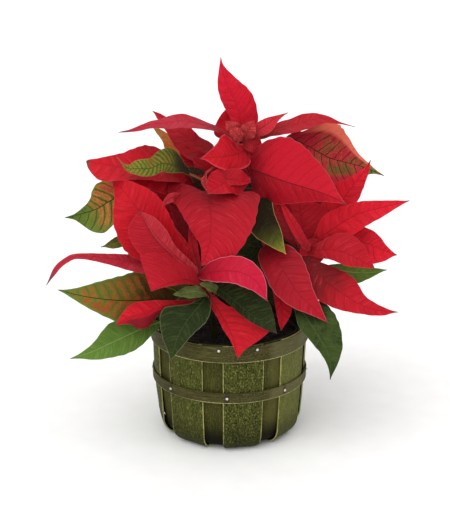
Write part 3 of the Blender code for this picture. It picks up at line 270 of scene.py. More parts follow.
looks = {
    "scarlet": plainBract,
    "brightRed": plainBract | {"ground": [(0.0, (142, 5, 18)), (0.35, (198, 10, 31)), (1.0, (224, 18, 44))]},
    # painted light: a brighter copy of the bract colour for the tall top bract
    "liftedRed": plainBract | {
        "ground": [(0.0, (168, 8, 28)), (0.3, (216, 20, 46)), (1.0, (230, 26, 56))],
        "veinPower": 0.12, "ribPower": 0.25, "foldPower": 0.2,
    },
    "shadedFront": plainBract | {"ground": [(0.0, (118, 5, 18)), (0.3, (170, 9, 31)), (1.0, (200, 13, 38))]},
    # painted highlight along the rolled edge
    "rolledRed": plainBract | {"rim": (222, 70, 86), "rimPower": 0.6, "rimWidth": 2.2},
    # painted shade on the half that turns down
    "foldedRed": plainBract | {"half": (122, 6, 28), "halfPower": 0.8, "halfFrom": 0.3},
    "rimmedRed": plainBract | {
        "ground": [(0.0, (104, 4, 16)), (0.35, (150, 9, 29)), (1.0, (180, 13, 37))],
        "rim": (216, 112, 120), "rimPower": 0.55, "rimWidth": 0.7,
    },
    "crimson": plainBract | {"ground": [(0.0, (120, 5, 18)), (0.4, (170, 9, 28)), (1.0, (188, 13, 33))]},
    # painted shade: a darker copy of the bract colour for bracts that lie in shade
    "deepRed": plainBract | {"ground": [(0.0, (88, 3, 10)), (0.45, (144, 6, 20)), (1.0, (170, 10, 28))]},
    "shadedRed": plainBract | {
        "ground": [(0.0, (80, 2, 8)), (0.35, (114, 4, 14)), (0.55, (180, 10, 30)), (1.0, (200, 14, 36))],
    },
    # painted shade: the darkest copy, for bracts deep in shade inside the heads
    "maroon": plainBract | {"ground": [(0.0, (70, 2, 7)), (0.6, (98, 3, 11)), (1.0, (130, 6, 18))]},
    # its half tone is painted light on the upper half of the bract
    "veinedRed": plainBract | {
        "ground": [(0.0, (118, 5, 20)), (0.3, (178, 10, 32)), (1.0, (198, 15, 38))],
        "vein": (86, 6, 20), "veinPower": 0.5, "veinWidth": 0.045, "rib": (74, 5, 18), "ribPower": 0.85,
        "rim": (214, 100, 110), "rimPower": 0.4, "foldPower": 0.22, "half": (200, 15, 40), "halfPower": 0.7,
    },
    "duskyPink": plainBract | {
        "ground": [(0.0, (132, 10, 28)), (0.3, (166, 22, 42)), (1.0, (176, 26, 48))],
        "vein": (190, 66, 78), "veinPower": 0.35, "rim": (196, 88, 98), "rimPower": 0.35,
        "tip": (104, 58, 74), "tipFrom": 0.86,
    },
    "pinkBract": plainBract | {
        "ground": [(0.0, (112, 6, 26)), (0.4, (182, 12, 44)), (1.0, (206, 22, 66))],
        "vein": (178, 14, 48), "rim": (226, 140, 152), "rimPower": 0.6, "rimWidth": 0.7,
    },
    "pleatedRed": plainBract | {
        "ground": [(0.0, (122, 5, 18)), (0.4, (168, 10, 29)), (1.0, (188, 17, 39))],
        "vein": (138, 7, 22), "veinPower": 0.4, "rim": (214, 104, 108), "rimPower": 0.12,
        "pleat": 0.55, "spacing": 3.4, "tip": (150, 40, 52), "tipFrom": 0.97,
    },
    "pleatedPale": plainBract | {
        "ground": [(0.0, (128, 8, 22)), (0.4, (166, 16, 34)), (1.0, (180, 26, 44))],
        "vein": (210, 84, 88), "veinPower": 0.26, "veinWidth": 0.07, "rim": (214, 104, 108), "rimPower": 0.3,
        "rib": (96, 4, 16), "pleat": 0.9, "spacing": 5.2, "tip": (150, 40, 52), "tipFrom": 0.97,
    },
    "youngBract": plainBract | {
        "ground": [(0.0, (140, 20, 30)), (0.45, (170, 30, 42)), (1.0, (188, 34, 48))],
        "vein": (204, 92, 82), "veinPower": 0.65, "veinWidth": 0.12, "rim": (200, 92, 88), "rimPower": 0.3,
        "pleat": 1.0, "spacing": 3.0, "foldPower": 0.5, "foldDepth": 1.8, "glow": (212, 84, 84),
    },
    "youngRed": plainBract | {
        "ground": [(0.0, (150, 20, 34)), (0.45, (202, 22, 44)), (1.0, (210, 26, 50))],
        "vein": (222, 92, 98), "veinPower": 0.5, "rim": (206, 96, 98), "rimPower": 0.4,
        "pleat": 0.7, "spacing": 3.4,
    },
    # its pale rim is painted highlight
    "darkLeaf": plainLeaf | {
        "ground": [(0.0, (22, 30, 13)), (0.5, (31, 39, 17)), (1.0, (41, 51, 23))],
        "glow": (70, 84, 44), "veinPower": 0.14, "ribPower": 0.16, "rim": (150, 158, 110), "rimPower": 0.5,
    },
    "nightLeaf": plainLeaf | {
        "ground": [(0.0, (18, 18, 8)), (0.6, (26, 27, 12)), (1.0, (34, 40, 19))], "glow": (50, 56, 30),
        "rib": (70, 86, 50), "ribPower": 0.25, "rim": (120, 60, 50), "rimPower": 0.4, "veinPower": 0.12,
    },
    "mossLeaf": plainLeaf | {
        "ground": [(0.0, (22, 31, 12)), (0.5, (33, 46, 19)), (1.0, (38, 57, 23))],
        "patch": (76, 92, 42), "patchPower": 0.4, "patchSpan": (0.15, 0.85), "ribPower": 0.3,
    },
    "freshLeaf": plainLeaf | {
        "ground": [(0.0, (60, 78, 30)), (0.45, (93, 118, 44)), (1.0, (92, 124, 44))],
        "patch": (74, 108, 42), "patchPower": 0.5, "vein": (122, 156, 82), "rib": (146, 168, 100),
        "rim": (122, 148, 78), "rimPower": 0.35,
    },
    "limeLeaf": plainLeaf | {
        "ground": [(0.0, (92, 96, 40)), (0.5, (128, 134, 56)), (1.0, (140, 140, 62))],
        "patch": (72, 70, 34), "patchPower": 0.6, "vein": (66, 80, 30), "veinPower": 0.6, "spacing": 5.0,
    },
    "bronzeLeaf": plainLeaf | {
        "ground": [(0.0, (26, 16, 12)), (0.54, (40, 29, 15)), (0.74, (82, 84, 30)), (1.0, (150, 146, 50))],
        "vein": (50, 44, 20), "veinPower": 0.3, "rib": (54, 44, 22), "ribPower": 0.3, "patchPower": 0.15,
        "rim": (196, 150, 96), "rimPower": 0.75, "rimWidth": 0.9, "tip": (196, 150, 96),
    },
    "orangeLeaf": plainLeaf | {
        "ground": [(0.0, (56, 16, 14)), (0.26, (78, 32, 18)), (0.42, (104, 92, 38)), (0.7, (106, 116, 46)),
                   (1.0, (92, 122, 52))],
        "patch": (172, 100, 42), "patchPower": 0.75, "patchSpan": (0.25, 0.85), "patchWide": 0.8,
        "core": (160, 62, 36), "corePower": 0.7, "between": 0.4, "netPower": 0.3,
        "vein": (86, 98, 36), "veinPower": 0.5, "rib": (40, 52, 20), "ribPower": 0.95,
        "rim": (100, 128, 50), "rimPower": 0.85, "rimWidth": 2.6,
    },
    "patchedLeaf": plainLeaf | {
        "ground": [(0.0, (150, 66, 50)), (0.35, (136, 112, 48)), (0.7, (112, 132, 52)), (1.0, (66, 92, 40))],
        "patch": (206, 140, 74), "patchPower": 0.95, "patchSpan": (0.0, 0.66), "patchWide": 0.88,
        "core": (192, 78, 60), "corePower": 0.85, "between": 0.8, "netPower": 0.4,
        "vein": (58, 70, 22), "veinPower": 0.9, "veinWidth": 0.08, "rib": (52, 66, 20), "ribPower": 0.95,
        "rim": (104, 128, 46), "rimPower": 0.75, "rimWidth": 2.0, "spacing": 8.5,
    },
    "crimsonLeaf": plainLeaf | {
        "ground": [(0.0, (150, 18, 36)), (0.3, (180, 30, 50)), (0.78, (184, 44, 56)), (0.88, (104, 116, 58)),
                   (1.0, (84, 108, 60))],
        "patch": (172, 98, 60), "patchPower": 0.8, "patchSpan": (0.3, 0.8), "patchWide": 0.6,
        "core": (92, 82, 36), "corePower": 0.8, "between": 0.0, "netPower": 0.4,
        "vein": (66, 28, 22), "veinPower": 0.95, "veinWidth": 0.085, "rib": (54, 44, 20), "ribPower": 0.95,
        "half": (232, 116, 92), "halfPower": 0.85, "halfFrom": 0.7,
        "rim": (196, 98, 72), "rimPower": 0.4, "rimWidth": 1.6, "spacing": 9.0,
    },
    "amberLeaf": plainLeaf | {
        "ground": [(0.0, (176, 62, 44)), (0.4, (206, 112, 52)), (0.8, (186, 128, 58)), (1.0, (122, 130, 64))],
        "patch": (178, 84, 44), "patchPower": 0.4, "vein": (170, 84, 46), "rim": (126, 132, 62),
        "rimPower": 0.8, "rimWidth": 1.2,
    },
    "curledLeaf": plainLeaf | {
        "ground": [(0.0, (38, 18, 24)), (0.16, (48, 28, 28)), (0.35, (84, 88, 34)), (0.85, (118, 130, 48)),
                   (1.0, (160, 84, 74))],
        "patch": (150, 138, 52), "patchPower": 0.6, "patchSpan": (0.3, 0.85), "vein": (48, 58, 18),
        "core": (150, 92, 44), "corePower": 0.5, "between": 0.6, "netPower": 0.5,
        "veinPower": 0.8, "veinWidth": 0.1, "rib": (46, 54, 20), "rim": (142, 152, 78), "spacing": 4.4,
        "tip": (168, 84, 80), "tipFrom": 0.84,
    },
    "duskLeaf": plainLeaf | {
        "ground": [(0.0, (28, 18, 11)), (0.5, (42, 27, 16)), (1.0, (60, 38, 25))], "glow": (96, 60, 46),
        "rim": (120, 70, 58), "ribPower": 0.2, "vein": (128, 82, 70), "veinPower": 0.4, "spacing": 3.6,
    },
    "russetLeaf": plainLeaf | {
        "ground": [(0.0, (40, 34, 18)), (0.4, (84, 44, 32)), (0.8, (104, 52, 38)), (1.0, (84, 70, 36))],
        "patch": (72, 82, 36), "patchPower": 0.85, "rim": (96, 116, 50), "rimPower": 0.8, "rimWidth": 2.0,
    },
    "tuftLeaf": plainLeaf | {
        "ground": [(0.0, (54, 78, 34)), (0.5, (78, 108, 52)), (1.0, (92, 124, 62))],
        "patch": (46, 66, 30), "patchPower": 0.6, "vein": (156, 76, 70), "veinPower": 0.4, "spacing": 4.0,
    },
}


def bladeSkin(name, look):
    def fill(tree):
        along, across, edge = tree.split(tree.attribute("place"))
        share, wide, number = tree.split(tree.attribute("share"))
        vein, under, _ = tree.split(tree.attribute("ribs"))
        spot = tree.vector(along, across, number * 40 + under * 20)  # each side of each blade has its own
        drift = tree.noise(spot, 0.06, 3.0)  # slow changes of tone
        mottle = tree.noise(spot, 0.28, 4.0)  # patches of a few millimetres
        grain = tree.noise(spot, 1.9, 2.0)  # the fine grain of the skin
        speck = tree.noise(spot, 0.85, 3.0)  # specks of a millimetre
        vein = vein + (tree.noise(spot, 0.16, 2.0) - 0.5) * 0.3
        gap = vein.maths("PINGPONG", 0.5)  # 0 on a side vein and 0.5 half way to the next
        side = gap.between(look["veinWidth"], 0.012) * wide.between(1.0, 0.82)
        folds = tree.noise(tree.vector(vein * look["folds"], across * 0.07, number), 1.0, 3.0)
        net = tree.cells(spot, 0.42).between(0.08, 0.0)
        rib = across.maths("ABSOLUTE").between(1.2 - share * 0.85, 0.2)
        first, last = look["patchSpan"]
        area = share.between(first - 0.08, first + 0.12) * share.between(last + 0.1, last - 0.1)
        area = area * wide.between(look["patchWide"] + 0.14, look["patchWide"] - 0.12)
        level = 0.7 + look["between"] * 0.26
        uneven = mottle * 0.45 + speck * 0.55
        patches = (uneven + drift * 0.6 + gap * look["between"]).between(level, level + 0.16)
        patches = patches * area * (1 - side * 0.85) * (1 - rib)
        cores = (drift + uneven * 0.7 + gap * look["between"] * 0.5).between(level + 0.06, level + 0.2)
        halfway = look["halfFrom"]
        half = across.between(0.6, -0.6) * wide.between(halfway - 0.12, halfway + 0.06)
        half = half * share.between(0.06, 0.3) * share.between(0.95, 0.8)
        colour = tree.painted(
            tree.ramp(share + (drift - 0.5) * 0.25, look["ground"]), look,
            (patches * look["patchPower"], "patch"),
            (cores * patches * look["corePower"], "core"),
            # painted shade in the troughs of the folds and painted sheen on their ridges
            (folds.between(0.52, 0.34) * look["foldPower"], "vein"),
            (folds.between(0.56, 0.72) * look["foldPower"] * 0.6, "glow"),
            (side * look["veinPower"], "vein"),
            (net * look["netPower"], "vein"),
            # another tone on one half: painted shade in foldedRed, painted light in veinedRed
            (half * look["halfPower"], "half"),
            (rib * look["ribPower"], "rib"),
            (under * look["underPower"], "under"),
            # a paler edge: partly the margin's own colour, partly painted highlight where the edge catches
            # light
            (edge.between(look["rimWidth"], 0.15) * look["rimPower"], "rim"),
            (share.between(look["tipFrom"], look["tipFrom"] * 0.2 + 0.8) * 0.85, "tip"),
            (along.between(2.0, -1.0), "stalk"),
            (grain.between(0.35, 0.75) * 0.1, "vein"),
        )  # fmt: skip
        facing = 1 - under * 2  # veins are sunk above and stand out below
        relief = (side * 0.8 + net * 0.3 + rib * 0.4) * facing * -1 + grain * 0.2 + mottle * 0.4
        relief = relief + folds * look["foldDepth"]
        shine = drift * 0.16 + mottle * 0.1 + side * 0.06 + 0.4
        return {"Base Color": colour, "Roughness": shine, "Normal": tree.bump(relief, 0.7, 0.6)}

    return newMaterial(name, {"Specular IOR Level": look["gloss"]}, fill)


stemLooks = {
    # each stem's last colour is painted shade, near the soil under the leaves
    "greenStem": {
        "ground": [(0.3, (64, 80, 38)), (0.7, (96, 106, 54))], "fleck": (140, 90, 66), "woody": (34, 26, 16),
    },
    "redStem": {
        "ground": [(0.3, (104, 26, 30)), (0.7, (144, 36, 40))], "fleck": (176, 84, 72), "woody": (60, 24, 20),
    },
}


def stemSkin(name, look):
    def fill(tree):
        along, around, _ = tree.split(tree.attribute("place"))
        z = tree.split(tree.objectPlace())[2]
        fibre = tree.noise(tree.vector(around * 1.3, along * 0.12, 0.0), 1.0, 3.0)
        fleck = tree.noise(tree.vector(around * 0.9, along * 0.5, 7.0), 1.0, 2.0)
        colour = tree.painted(
            tree.ramp(fibre, look["ground"]), look,
            # painted shade: the stems darken towards the soil
            (fleck.between(0.62, 0.72) * 0.7, "fleck"), (z.between(0.175, 0.13) * 0.9, "woody"),
        )  # fmt: skip
        return {"Base Color": colour, "Roughness": fibre * 0.2 + 0.4, "Normal": tree.bump(fibre, 0.4, 0.3)}

    return newMaterial(name, {"Specular IOR Level": 0.15}, fill)


def blade(
    name, look, spine, face, left, right, fold=8, wave=1.5, ripples=2.0, shoulders=(0, 0), point=1.35, at=0.6,
):  # fmt: skip
    # One leaf or bract. spine runs from where the petiole ends to the tip, and face is where its upper side
    # looks. left and right are half-widths along it, seen from the face with the tip ahead. fold lifts each
    # half towards the face, wave is the depth of the ripples in its edge, shoulders sweep its base backwards,
    # point above 1 draws its tip out, and at is where the petiole leaves the stem.
    return {
        "name": name, "look": look, "spine": spine, "face": face, "sides": (left, right),
        "folds": fold if isinstance(fold, tuple) else (fold, fold), "wave": wave, "ripples": ripples,
        "shoulders": shoulders, "point": point, "at": at,
    }  # fmt: skip


def even(width):
    # both halves of a plain blade that is this wide
    side = tuple(width / 2 * share for share in (0.6, 0.97, 0.95, 0.6, 0.16))
    return side, side


# Each plant is one rooted cutting: where it stands in the soil, where its head is, the share of the stem's
# points where the green stem ends and the red one begins, the red stem above the last bract, and how many
# cyathia it has. Its blades come first.
# fmt: off
topLeaves = [
    blade("hangingLeaf", "bronzeLeaf",
        [(33, -14, 259), (37, -25, 245), (41, -35, 231), (48, -43, 218), (56, -48, 205)],
        (0.1, -1, 0.25), (7, 7, 8, 7, 2.5), (14, 20, 22, 14, 5), at=0.72),
    blade("mottledRight", "crimsonLeaf",
        [(60, 6, 314), (81, 12, 302), (102, 15, 290), (120, 14, 285), (139, 12, 280), (159, 10, 272)],
        (0, -0.9, 0.45), (10, 33, 33, 13, 3), (8, 24, 29, 18, 3), wave=2.0, at=0.76),
    blade("mottledBackLeft", "amberLeaf",
        [(-41, 26, 287), (-54, 30, 295), (-64, 33, 305), (-73, 35, 313), (-80, 36, 318)],
        (0.2, -0.8, 0.8), (13, 14, 11, 6, 2.5), (5, 7, 7, 5, 2), wave=1.0, at=0.74),
    blade("curledBase", "duskLeaf", [(-17, -8, 257), (-25, -12, 268), (-34, -18, 280), (-43, -24, 289)],
        (0, -1, 0.3), (6, 9, 9, 7, 3), (6, 9, 9, 7, 3), wave=2.0, at=0.8),
    blade("curledLeft", "curledLeaf",
        [(-40, -26, 282), (-51, -36, 291), (-65, -47, 297), (-77, -56, 294), (-89, -61, 295),
         (-99, -62, 296), (-109, -63, 307)],
        (0, -0.9, 0.5), (3, 9, 7, 8, 1), (6, 17, 9, 9, 1), wave=3.0, ripples=1.6, at=0.7),
    # darkHollow and tangleUpper are dark leaves put in as painted shade in the hollows under the top head
    blade("darkHollow", "duskLeaf", [(33, -12, 266), (16, -14, 264), (-3, -14, 264), (-24, -14, 265)],
        (0, -1, 0.3), (8, 13, 15, 14, 7), (6, 9, 10, 10, 5), at=0.7),
    blade("tangleUpper", "nightLeaf", [(33, -10, 198), (26, -12, 212), (18, -14, 225)],
        (0, -1, 0.3), (7, 12, 12, 9, 3), (7, 12, 12, 9, 3), at=0.5),
]
topBracts = [
    blade("tall", "liftedRed",
        [(8, 9, 312), (11, 12, 327), (7, 12, 344), (-2, 8, 364), (-8, 3, 383), (-9, 0, 394)],
        (0.15, -1, 0.1), (7, 11, 13, 10, 2), (15, 19, 18, 11, 2.5), fold=14, wave=0.8, at=0.99),
    blade("upperLeft", "duskyPink",
        [(-8, -4, 322), (-32, -11, 330), (-48, -14, 333), (-64, -17, 331), (-79, -19, 330),
         (-96, -21, 325), (-110, -22, 323)],
        (0, -0.42, 1), (8, 13, 13, 8, 1.5), (6, 10, 10, 6, 1.5), fold=6, wave=0.8, at=0.97),
    blade("upperLeftBack", "crimson",
        [(-16, 6, 298), (-30, 10, 303), (-46, 13, 313), (-61, 17, 324), (-71, 20, 332), (-79, 22, 337)],
        (0.2, -0.75, 0.8), (21, 23, 18, 10, 4), (9, 9, 11, 6, 2), wave=1.0, at=0.9),
    blade("upperRight", "crimson",
        [(28, -3, 313), (39, 0, 319), (51, 2, 323), (66, 4, 326), (81, 6, 330), (96, 8, 331),
         (112, 8, 327), (127, 9, 323)],
        (0, -0.5, 1), (5, 10, 12, 6, 1.5), (6, 13, 14, 6, 1.5), fold=4, wave=0.8, at=0.95),
    blade("youngRight", "youngRed", [(20, -8, 317), (32, -8, 325), (45, -8, 334), (58, -6, 340)],
        (0, -1, 0.35), (4, 7, 6, 3, 1), (4, 8, 8, 4, 1), wave=0.5, at=1.0),
    blade("youngLeft", "youngBract", [(12, -12, 314), (5, -15, 324), (-4, -15, 333)],
        (0, -1, 0.5), (4, 8, 9, 7, 3), (4, 7, 8, 6, 2.5), wave=1.2, ripples=3.0, at=1.0),
    blade("youngMiddle", "youngBract", [(15, -12, 315), (19, -16, 325), (24, -16, 334)],
        (0, -1, 0.4), (4, 8, 8, 6, 2), (4, 8, 8, 6, 2), wave=1.2, ripples=3.0, at=1.0),
    blade("youngFront", "youngBract", [(12, -15, 314), (7, -19, 321), (0, -19, 327)],
        (0, -1, 0.4), (3, 6, 7, 6, 3), (3, 5, 6, 5, 2), wave=1.2, ripples=3.0, at=1.0),
    blade("youngDeep", "deepRed", [(14, -11, 315), (24, -15, 309), (34, -15, 303)],
        (0, -1, 0.3), (7, 11, 10, 7, 2), (5, 8, 8, 6, 2), wave=0.8, at=0.99),
    blade("darkUpper", "deepRed", [(-6, -8, 271), (-17, -10, 280), (-28, -12, 288), (-38, -14, 296)],
        (0, -1, 0.3), (8, 14, 14, 10, 3), (8, 12, 12, 9, 3), at=0.86),
    blade("youngCurl", "youngBract", [(-23, -38, 286), (-25, -42, 279), (-23, -45, 272), (-19, -47, 268)],
        (-0.2, -1, 0.3), (1, 3, 3, 2, 1), (1, 3, 3, 2, 1), wave=0.6, at=0.93),
    blade("youngLower", "deepRed", [(16, -10, 314), (21, -12, 304), (24, -14, 294)],
        (0, -1, 0.2), (4, 7, 7, 5, 2), (4, 7, 7, 5, 2), wave=0.8, at=0.98),
    blade("upperLeftFill", "crimson", [(-22, 0, 280), (-33, 0, 289), (-43, 2, 297), (-53, 4, 306)],
        (0, -1, 0.4), (8, 11, 11, 8, 3), (8, 11, 11, 8, 3), wave=1.0, at=0.88),
    blade("innerCurl", "pleatedPale",
        [(-44, -28, 255), (-51, -38, 260), (-57, -48, 263), (-63, -54, 260), (-68, -58, 256)],
        (0, -1, 0.2), (3, 6, 6, 4, 1.5), (3, 5, 5, 4, 1.5), wave=0.6, at=0.8),
    blade("broadRight", "veinedRed",
        [(20, -18, 285), (34, -30, 283), (51, -42, 279), (69, -50, 275), (86, -56, 271), (101, -61, 266),
         (113, -64, 260)],
        (0.1, -1, -0.1), (27, 43, 40, 26, 5), (37, 33, 24, 14, 4.5), fold=(2, -24), wave=1.0, at=0.92),
    blade("frontSmall", "rolledRed",
        [(18, -12, 304), (6, -22, 301), (-8, -30, 300), (-20, -34, 300), (-30, -34, 299)],
        (0.1, -1, 0.25), (13, 16, 15, 10, 2), (8, 14, 22, 12, 3), wave=1.5, at=0.99),
    blade("foldedStalk", "maroon", [(7, -31, 311), (2, -30, 319), (-3, -27, 322), (-11, -21, 327)],
        (0, -1, 0.3), (0.6, 1, 1.3, 1.1, 0.6), (0.6, 1, 1.3, 1.1, 0.6), fold=0, wave=0, at=1.0),
    blade("behindLeft", "scarlet", [(-2, 8, 310), (-2, 12, 324), (-1, 14, 337), (1, 16, 345)],
        (-0.1, -1, 0.2), (12, 14, 11, 7, 2), (8, 8, 8, 6, 2), at=0.97),
    blade("frontLower", "crimson",
        [(17, -16, 282), (6, -28, 279), (-6, -40, 276), (-17, -50, 271), (-22, -52, 268)],
        (-0.2, -1, 0.25), (9, 15, 18, 12, 4), (6, 10, 14, 15, 9), wave=2.2, point=0.8, at=0.94),
    blade("broadFront", "shadedFront",
        [(-21, -38, 263), (-19, -50, 248), (-19, -59, 233), (-21, -65, 217), (-28, -69, 199)],
        (0, -1, 0.12), (45, 46, 40, 30, 13), (38, 31, 21, 10, 3), fold=6, wave=1.2, shoulders=(3, 36),
        at=0.84),
    blade("frontLowerRight", "crimson", [(-14, -34, 280), (-2, -37, 279), (10, -36, 277), (21, -30, 275)],
        (0, -1, 0.3), (6, 10, 12, 10, 5), (8, 7, 5, 4, 2), wave=1.0, point=0.7, at=0.95),
    blade("centreFill", "deepRed", [(-12, 4, 301), (4, 6, 294), (18, 8, 284), (34, 8, 270)],
        (0, -1, 0.3), (8, 14, 15, 12, 4), (8, 14, 15, 12, 4), at=0.93),
    blade("underLeftFlat", "crimson",
        [(-24, -5, 261), (-45, -18, 268), (-69, -30, 275), (-93, -42, 281), (-112, -52, 286)],
        (0, -0.9, 0.4), (8, 12, 12, 8, 3), (14, 15, 11, 6, 2), wave=1.6, at=0.82),
    blade("broadLower", "rimmedRed",
        [(35, -22, 206), (46, -40, 197), (57, -56, 184), (69, -68, 169), (83, -75, 157), (97, -78, 143)],
        (0, -0.9, 0.5), (15, 23, 20, 13, 4), (13, 18, 20, 13, 4), wave=1.0, at=0.83),
    blade("leftFlat", "scarlet",
        [(-44, -12, 276), (-64, -26, 284), (-84, -38, 289), (-103, -45, 292), (-121, -52, 297),
         (-139, -56, 301)],
        (0, -0.6, 0.8), (12, 16, 16, 20, 22), (21, 31, 26, 16, 5), wave=1.0, point=0.55, at=0.86),
    blade("backLeft", "scarlet", [(2, 14, 292), (-10, 42, 290), (-20, 66, 280), (-26, 84, 264)],
        (-0.2, 0.35, 1), *even(44), at=0.9),
    blade("back", "crimson", [(10, 14, 288), (16, 46, 288), (20, 76, 276), (22, 98, 258)],
        (0, 0.3, 1), *even(46), at=0.87),
    blade("backRight", "scarlet", [(18, 10, 292), (40, 36, 292), (56, 56, 284), (68, 70, 270)],
        (0.2, 0.3, 1), *even(42), at=0.93),
]
leftLeaves = [
    blade("mottledLeft", "orangeLeaf",
        [(-50, -46, 160), (-70, -54, 160), (-89, -62, 161), (-111, -70, 164), (-130, -76, 168),
         (-149, -80, 173), (-168, -82, 179)],
        (0, -1, 0.35), (6, 24, 22, 13, 3.5), (11, 30, 25, 16.5, 4.5), at=0.66),
    blade("leftLow", "russetLeaf", [(-16, -36, 155), (-35, -40, 160), (-58, -44, 165), (-84, -46, 169)],
        (0, -1, 0.4), (5, 9, 11, 9, 4), (5, 9, 10, 8, 3), at=0.6),
    blade("lowerLeft", "freshLeaf",
        [(-71, -48, 133), (-86, -56, 130), (-102, -64, 125), (-120, -72, 119), (-137, -79, 113),
         (-158, -85, 108)],
        (0, -0.9, 0.55), (8, 16, 17, 12, 3), (5, 16, 18, 9, 2), at=0.55),
    blade("frontLeft", "darkLeaf",
        [(-23, -58, 164), (-32, -72, 157), (-42, -82, 147), (-50, -89, 135), (-55, -93, 121),
         (-58, -95, 109)],
        (-0.1, -0.85, 0.5), (9, 16, 14, 10, 3), (4, 11, 26, 17, 4), at=0.62),
    blade("frontCentre", "nightLeaf",
        [(-16, -56, 175), (-2, -70, 169), (13, -82, 160), (26, -90, 152), (36, -93, 145), (46, -94, 138)],
        (0, -0.85, 0.55), (11, 19, 23, 20, 9), (5, 6, 7, 6, 3), wave=1.0, at=0.58),
    blade("tuft", "tuftLeaf", [(-23, -64, 168), (-34, -70, 173), (-45, -74, 173), (-56, -76, 172)],
        (0, -0.8, 0.6), (3, 6, 7, 5, 2), (3, 6, 6, 5, 2), wave=1.2, ripples=3.0, at=0.55),
    # a dark leaf put in as painted shade between the heads
    blade("centreShade", "nightLeaf", [(-16, -42, 155), (-26, -45, 172), (-31, -46, 190), (-31, -44, 207)],
        (0, -1, 0.2), (10, 14, 13, 9, 3), (10, 14, 14, 10, 3), at=0.6),
    blade("tuftRight", "tuftLeaf", [(-9, -60, 169), (-17, -64, 175), (-24, -66, 179), (-30, -67, 180)],
        (0, -0.8, 0.6), (3, 4, 5, 4, 2), (3, 4, 5, 4, 2), wave=1.0, ripples=3.0, at=0.6),
]
leftBracts = [
    blade("broadLeft", "scarlet",
        [(-33, -58, 190), (-49, -64, 209), (-68, -70, 231), (-87, -72, 255), (-101, -66, 272),
         (-114, -56, 283)],
        (0, -1, 0.2), (11, 26, 35, 28, 9), (8, 12, 20, 23, 10), point=1.0, at=0.9),
    blade("youngLeft", "pleatedRed",
        [(-32, -66, 188), (-46, -76, 205), (-59, -84, 221), (-73, -92, 241), (-84, -97, 263)],
        (-0.2, -1, 0.25), (5, 14, 21, 24, 18), (4, 8, 10, 12, 4), fold=(4, 24), wave=1.0, point=0.75,
        at=0.97),
    blade("youngStrip", "pleatedPale",
        [(-32, -70, 192), (-47, -81, 208), (-61, -90, 225), (-73, -96, 242), (-84, -99, 262)],
        (-0.1, -1, 0.2), (1, 2, 2, 2, 1), (5, 7, 8, 12, 9), fold=(-20, 16), wave=0.8, point=1.0, at=0.98),
    blade("lower", "pleatedRed",
        [(-30, -66, 181), (-43, -78, 188), (-54, -87, 189), (-65, -93, 187), (-76, -96, 182)],
        (-0.1, -1, 0.25), (3, 4, 4, 3, 1), (6, 14, 24, 32, 34), wave=0.8, point=1.0, at=0.93),
    blade("pink", "pinkBract",
        [(-30, -66, 187), (-16, -78, 196), (0, -88, 200), (14, -94, 199), (27, -97, 190), (36, -99, 173)],
        (0.1, -0.8, 0.6), (8, 14, 16, 12, 4), (6, 12, 13, 12, 5), fold=4, wave=0.6, at=0.95),
    blade("longCurved", "duskyPink",
        [(-40, -52, 186), (-64, -62, 197), (-88, -70, 202), (-112, -76, 208), (-134, -80, 212),
         (-149, -82, 213), (-157, -83, 210), (-167, -84, 202), (-178, -86, 185)],
        (0, -0.55, 1), (11, 14, 9.5, 4.5, 3), (7, 11, 7, 4, 3), fold=4, wave=0.4, at=0.86),
    blade("innerLeft", "crimson", [(-34, -60, 194), (-45, -62, 214), (-55, -58, 231), (-61, -52, 245)],
        (0, -1, 0.2), (3, 5, 6, 4, 1.5), (3, 6, 6, 4, 1.5), wave=0.8, at=0.96),
    blade("deepLeft", "deepRed", [(-28, 0, 222), (-49, -4, 239), (-67, -8, 253), (-83, -12, 262)],
        (0, -1, 0.3), (12, 18, 18, 13, 4), (12, 18, 19, 16, 9), at=0.9),
    blade("innerDark", "maroon", [(-33, -48, 191), (-42, -44, 210), (-50, -38, 231), (-60, -32, 252)],
        (0, -1, 0.2), (3, 5, 6, 5, 2), (5, 9, 10, 8, 3), wave=0.8, at=0.88),
    blade("innerShaded", "maroon", [(-28, -50, 191), (-28, -46, 205), (-30, -40, 220), (-33, -34, 232)],
        (0, -1, 0.2), (3, 6, 7, 5, 2), (3, 6, 7, 5, 2), wave=0.8, at=0.92),
    blade("narrowFront", "crimson", [(-30, -62, 193), (-35, -58, 210), (-38, -52, 225), (-39, -46, 240)],
        (0, -1, 0.1), (2, 4, 4, 3, 1.5), (3, 4, 5, 4, 2), wave=0.5, at=0.98),
    blade("lowFolded", "foldedRed",
        [(-38, -58, 158), (-54, -68, 159), (-71, -78, 159), (-86, -86, 156), (-99, -90, 153),
         (-112, -91, 145)],
        (0, -1, 0.1), (3, 6, 26, 25, 8), (3, 5, 9, 12, 5), fold=(-45, -20), wave=0.8, at=0.74),
    blade("lowFront", "scarlet",
        [(-18, -58, 164), (-11, -66, 152), (-3, -74, 141), (3, -82, 128), (6, -88, 118), (8, -91, 110)],
        (0, -0.9, 0.4), (5, 13, 28, 42, 8), (5, 5, 6, 3, 1), wave=1.0, at=0.78),
]
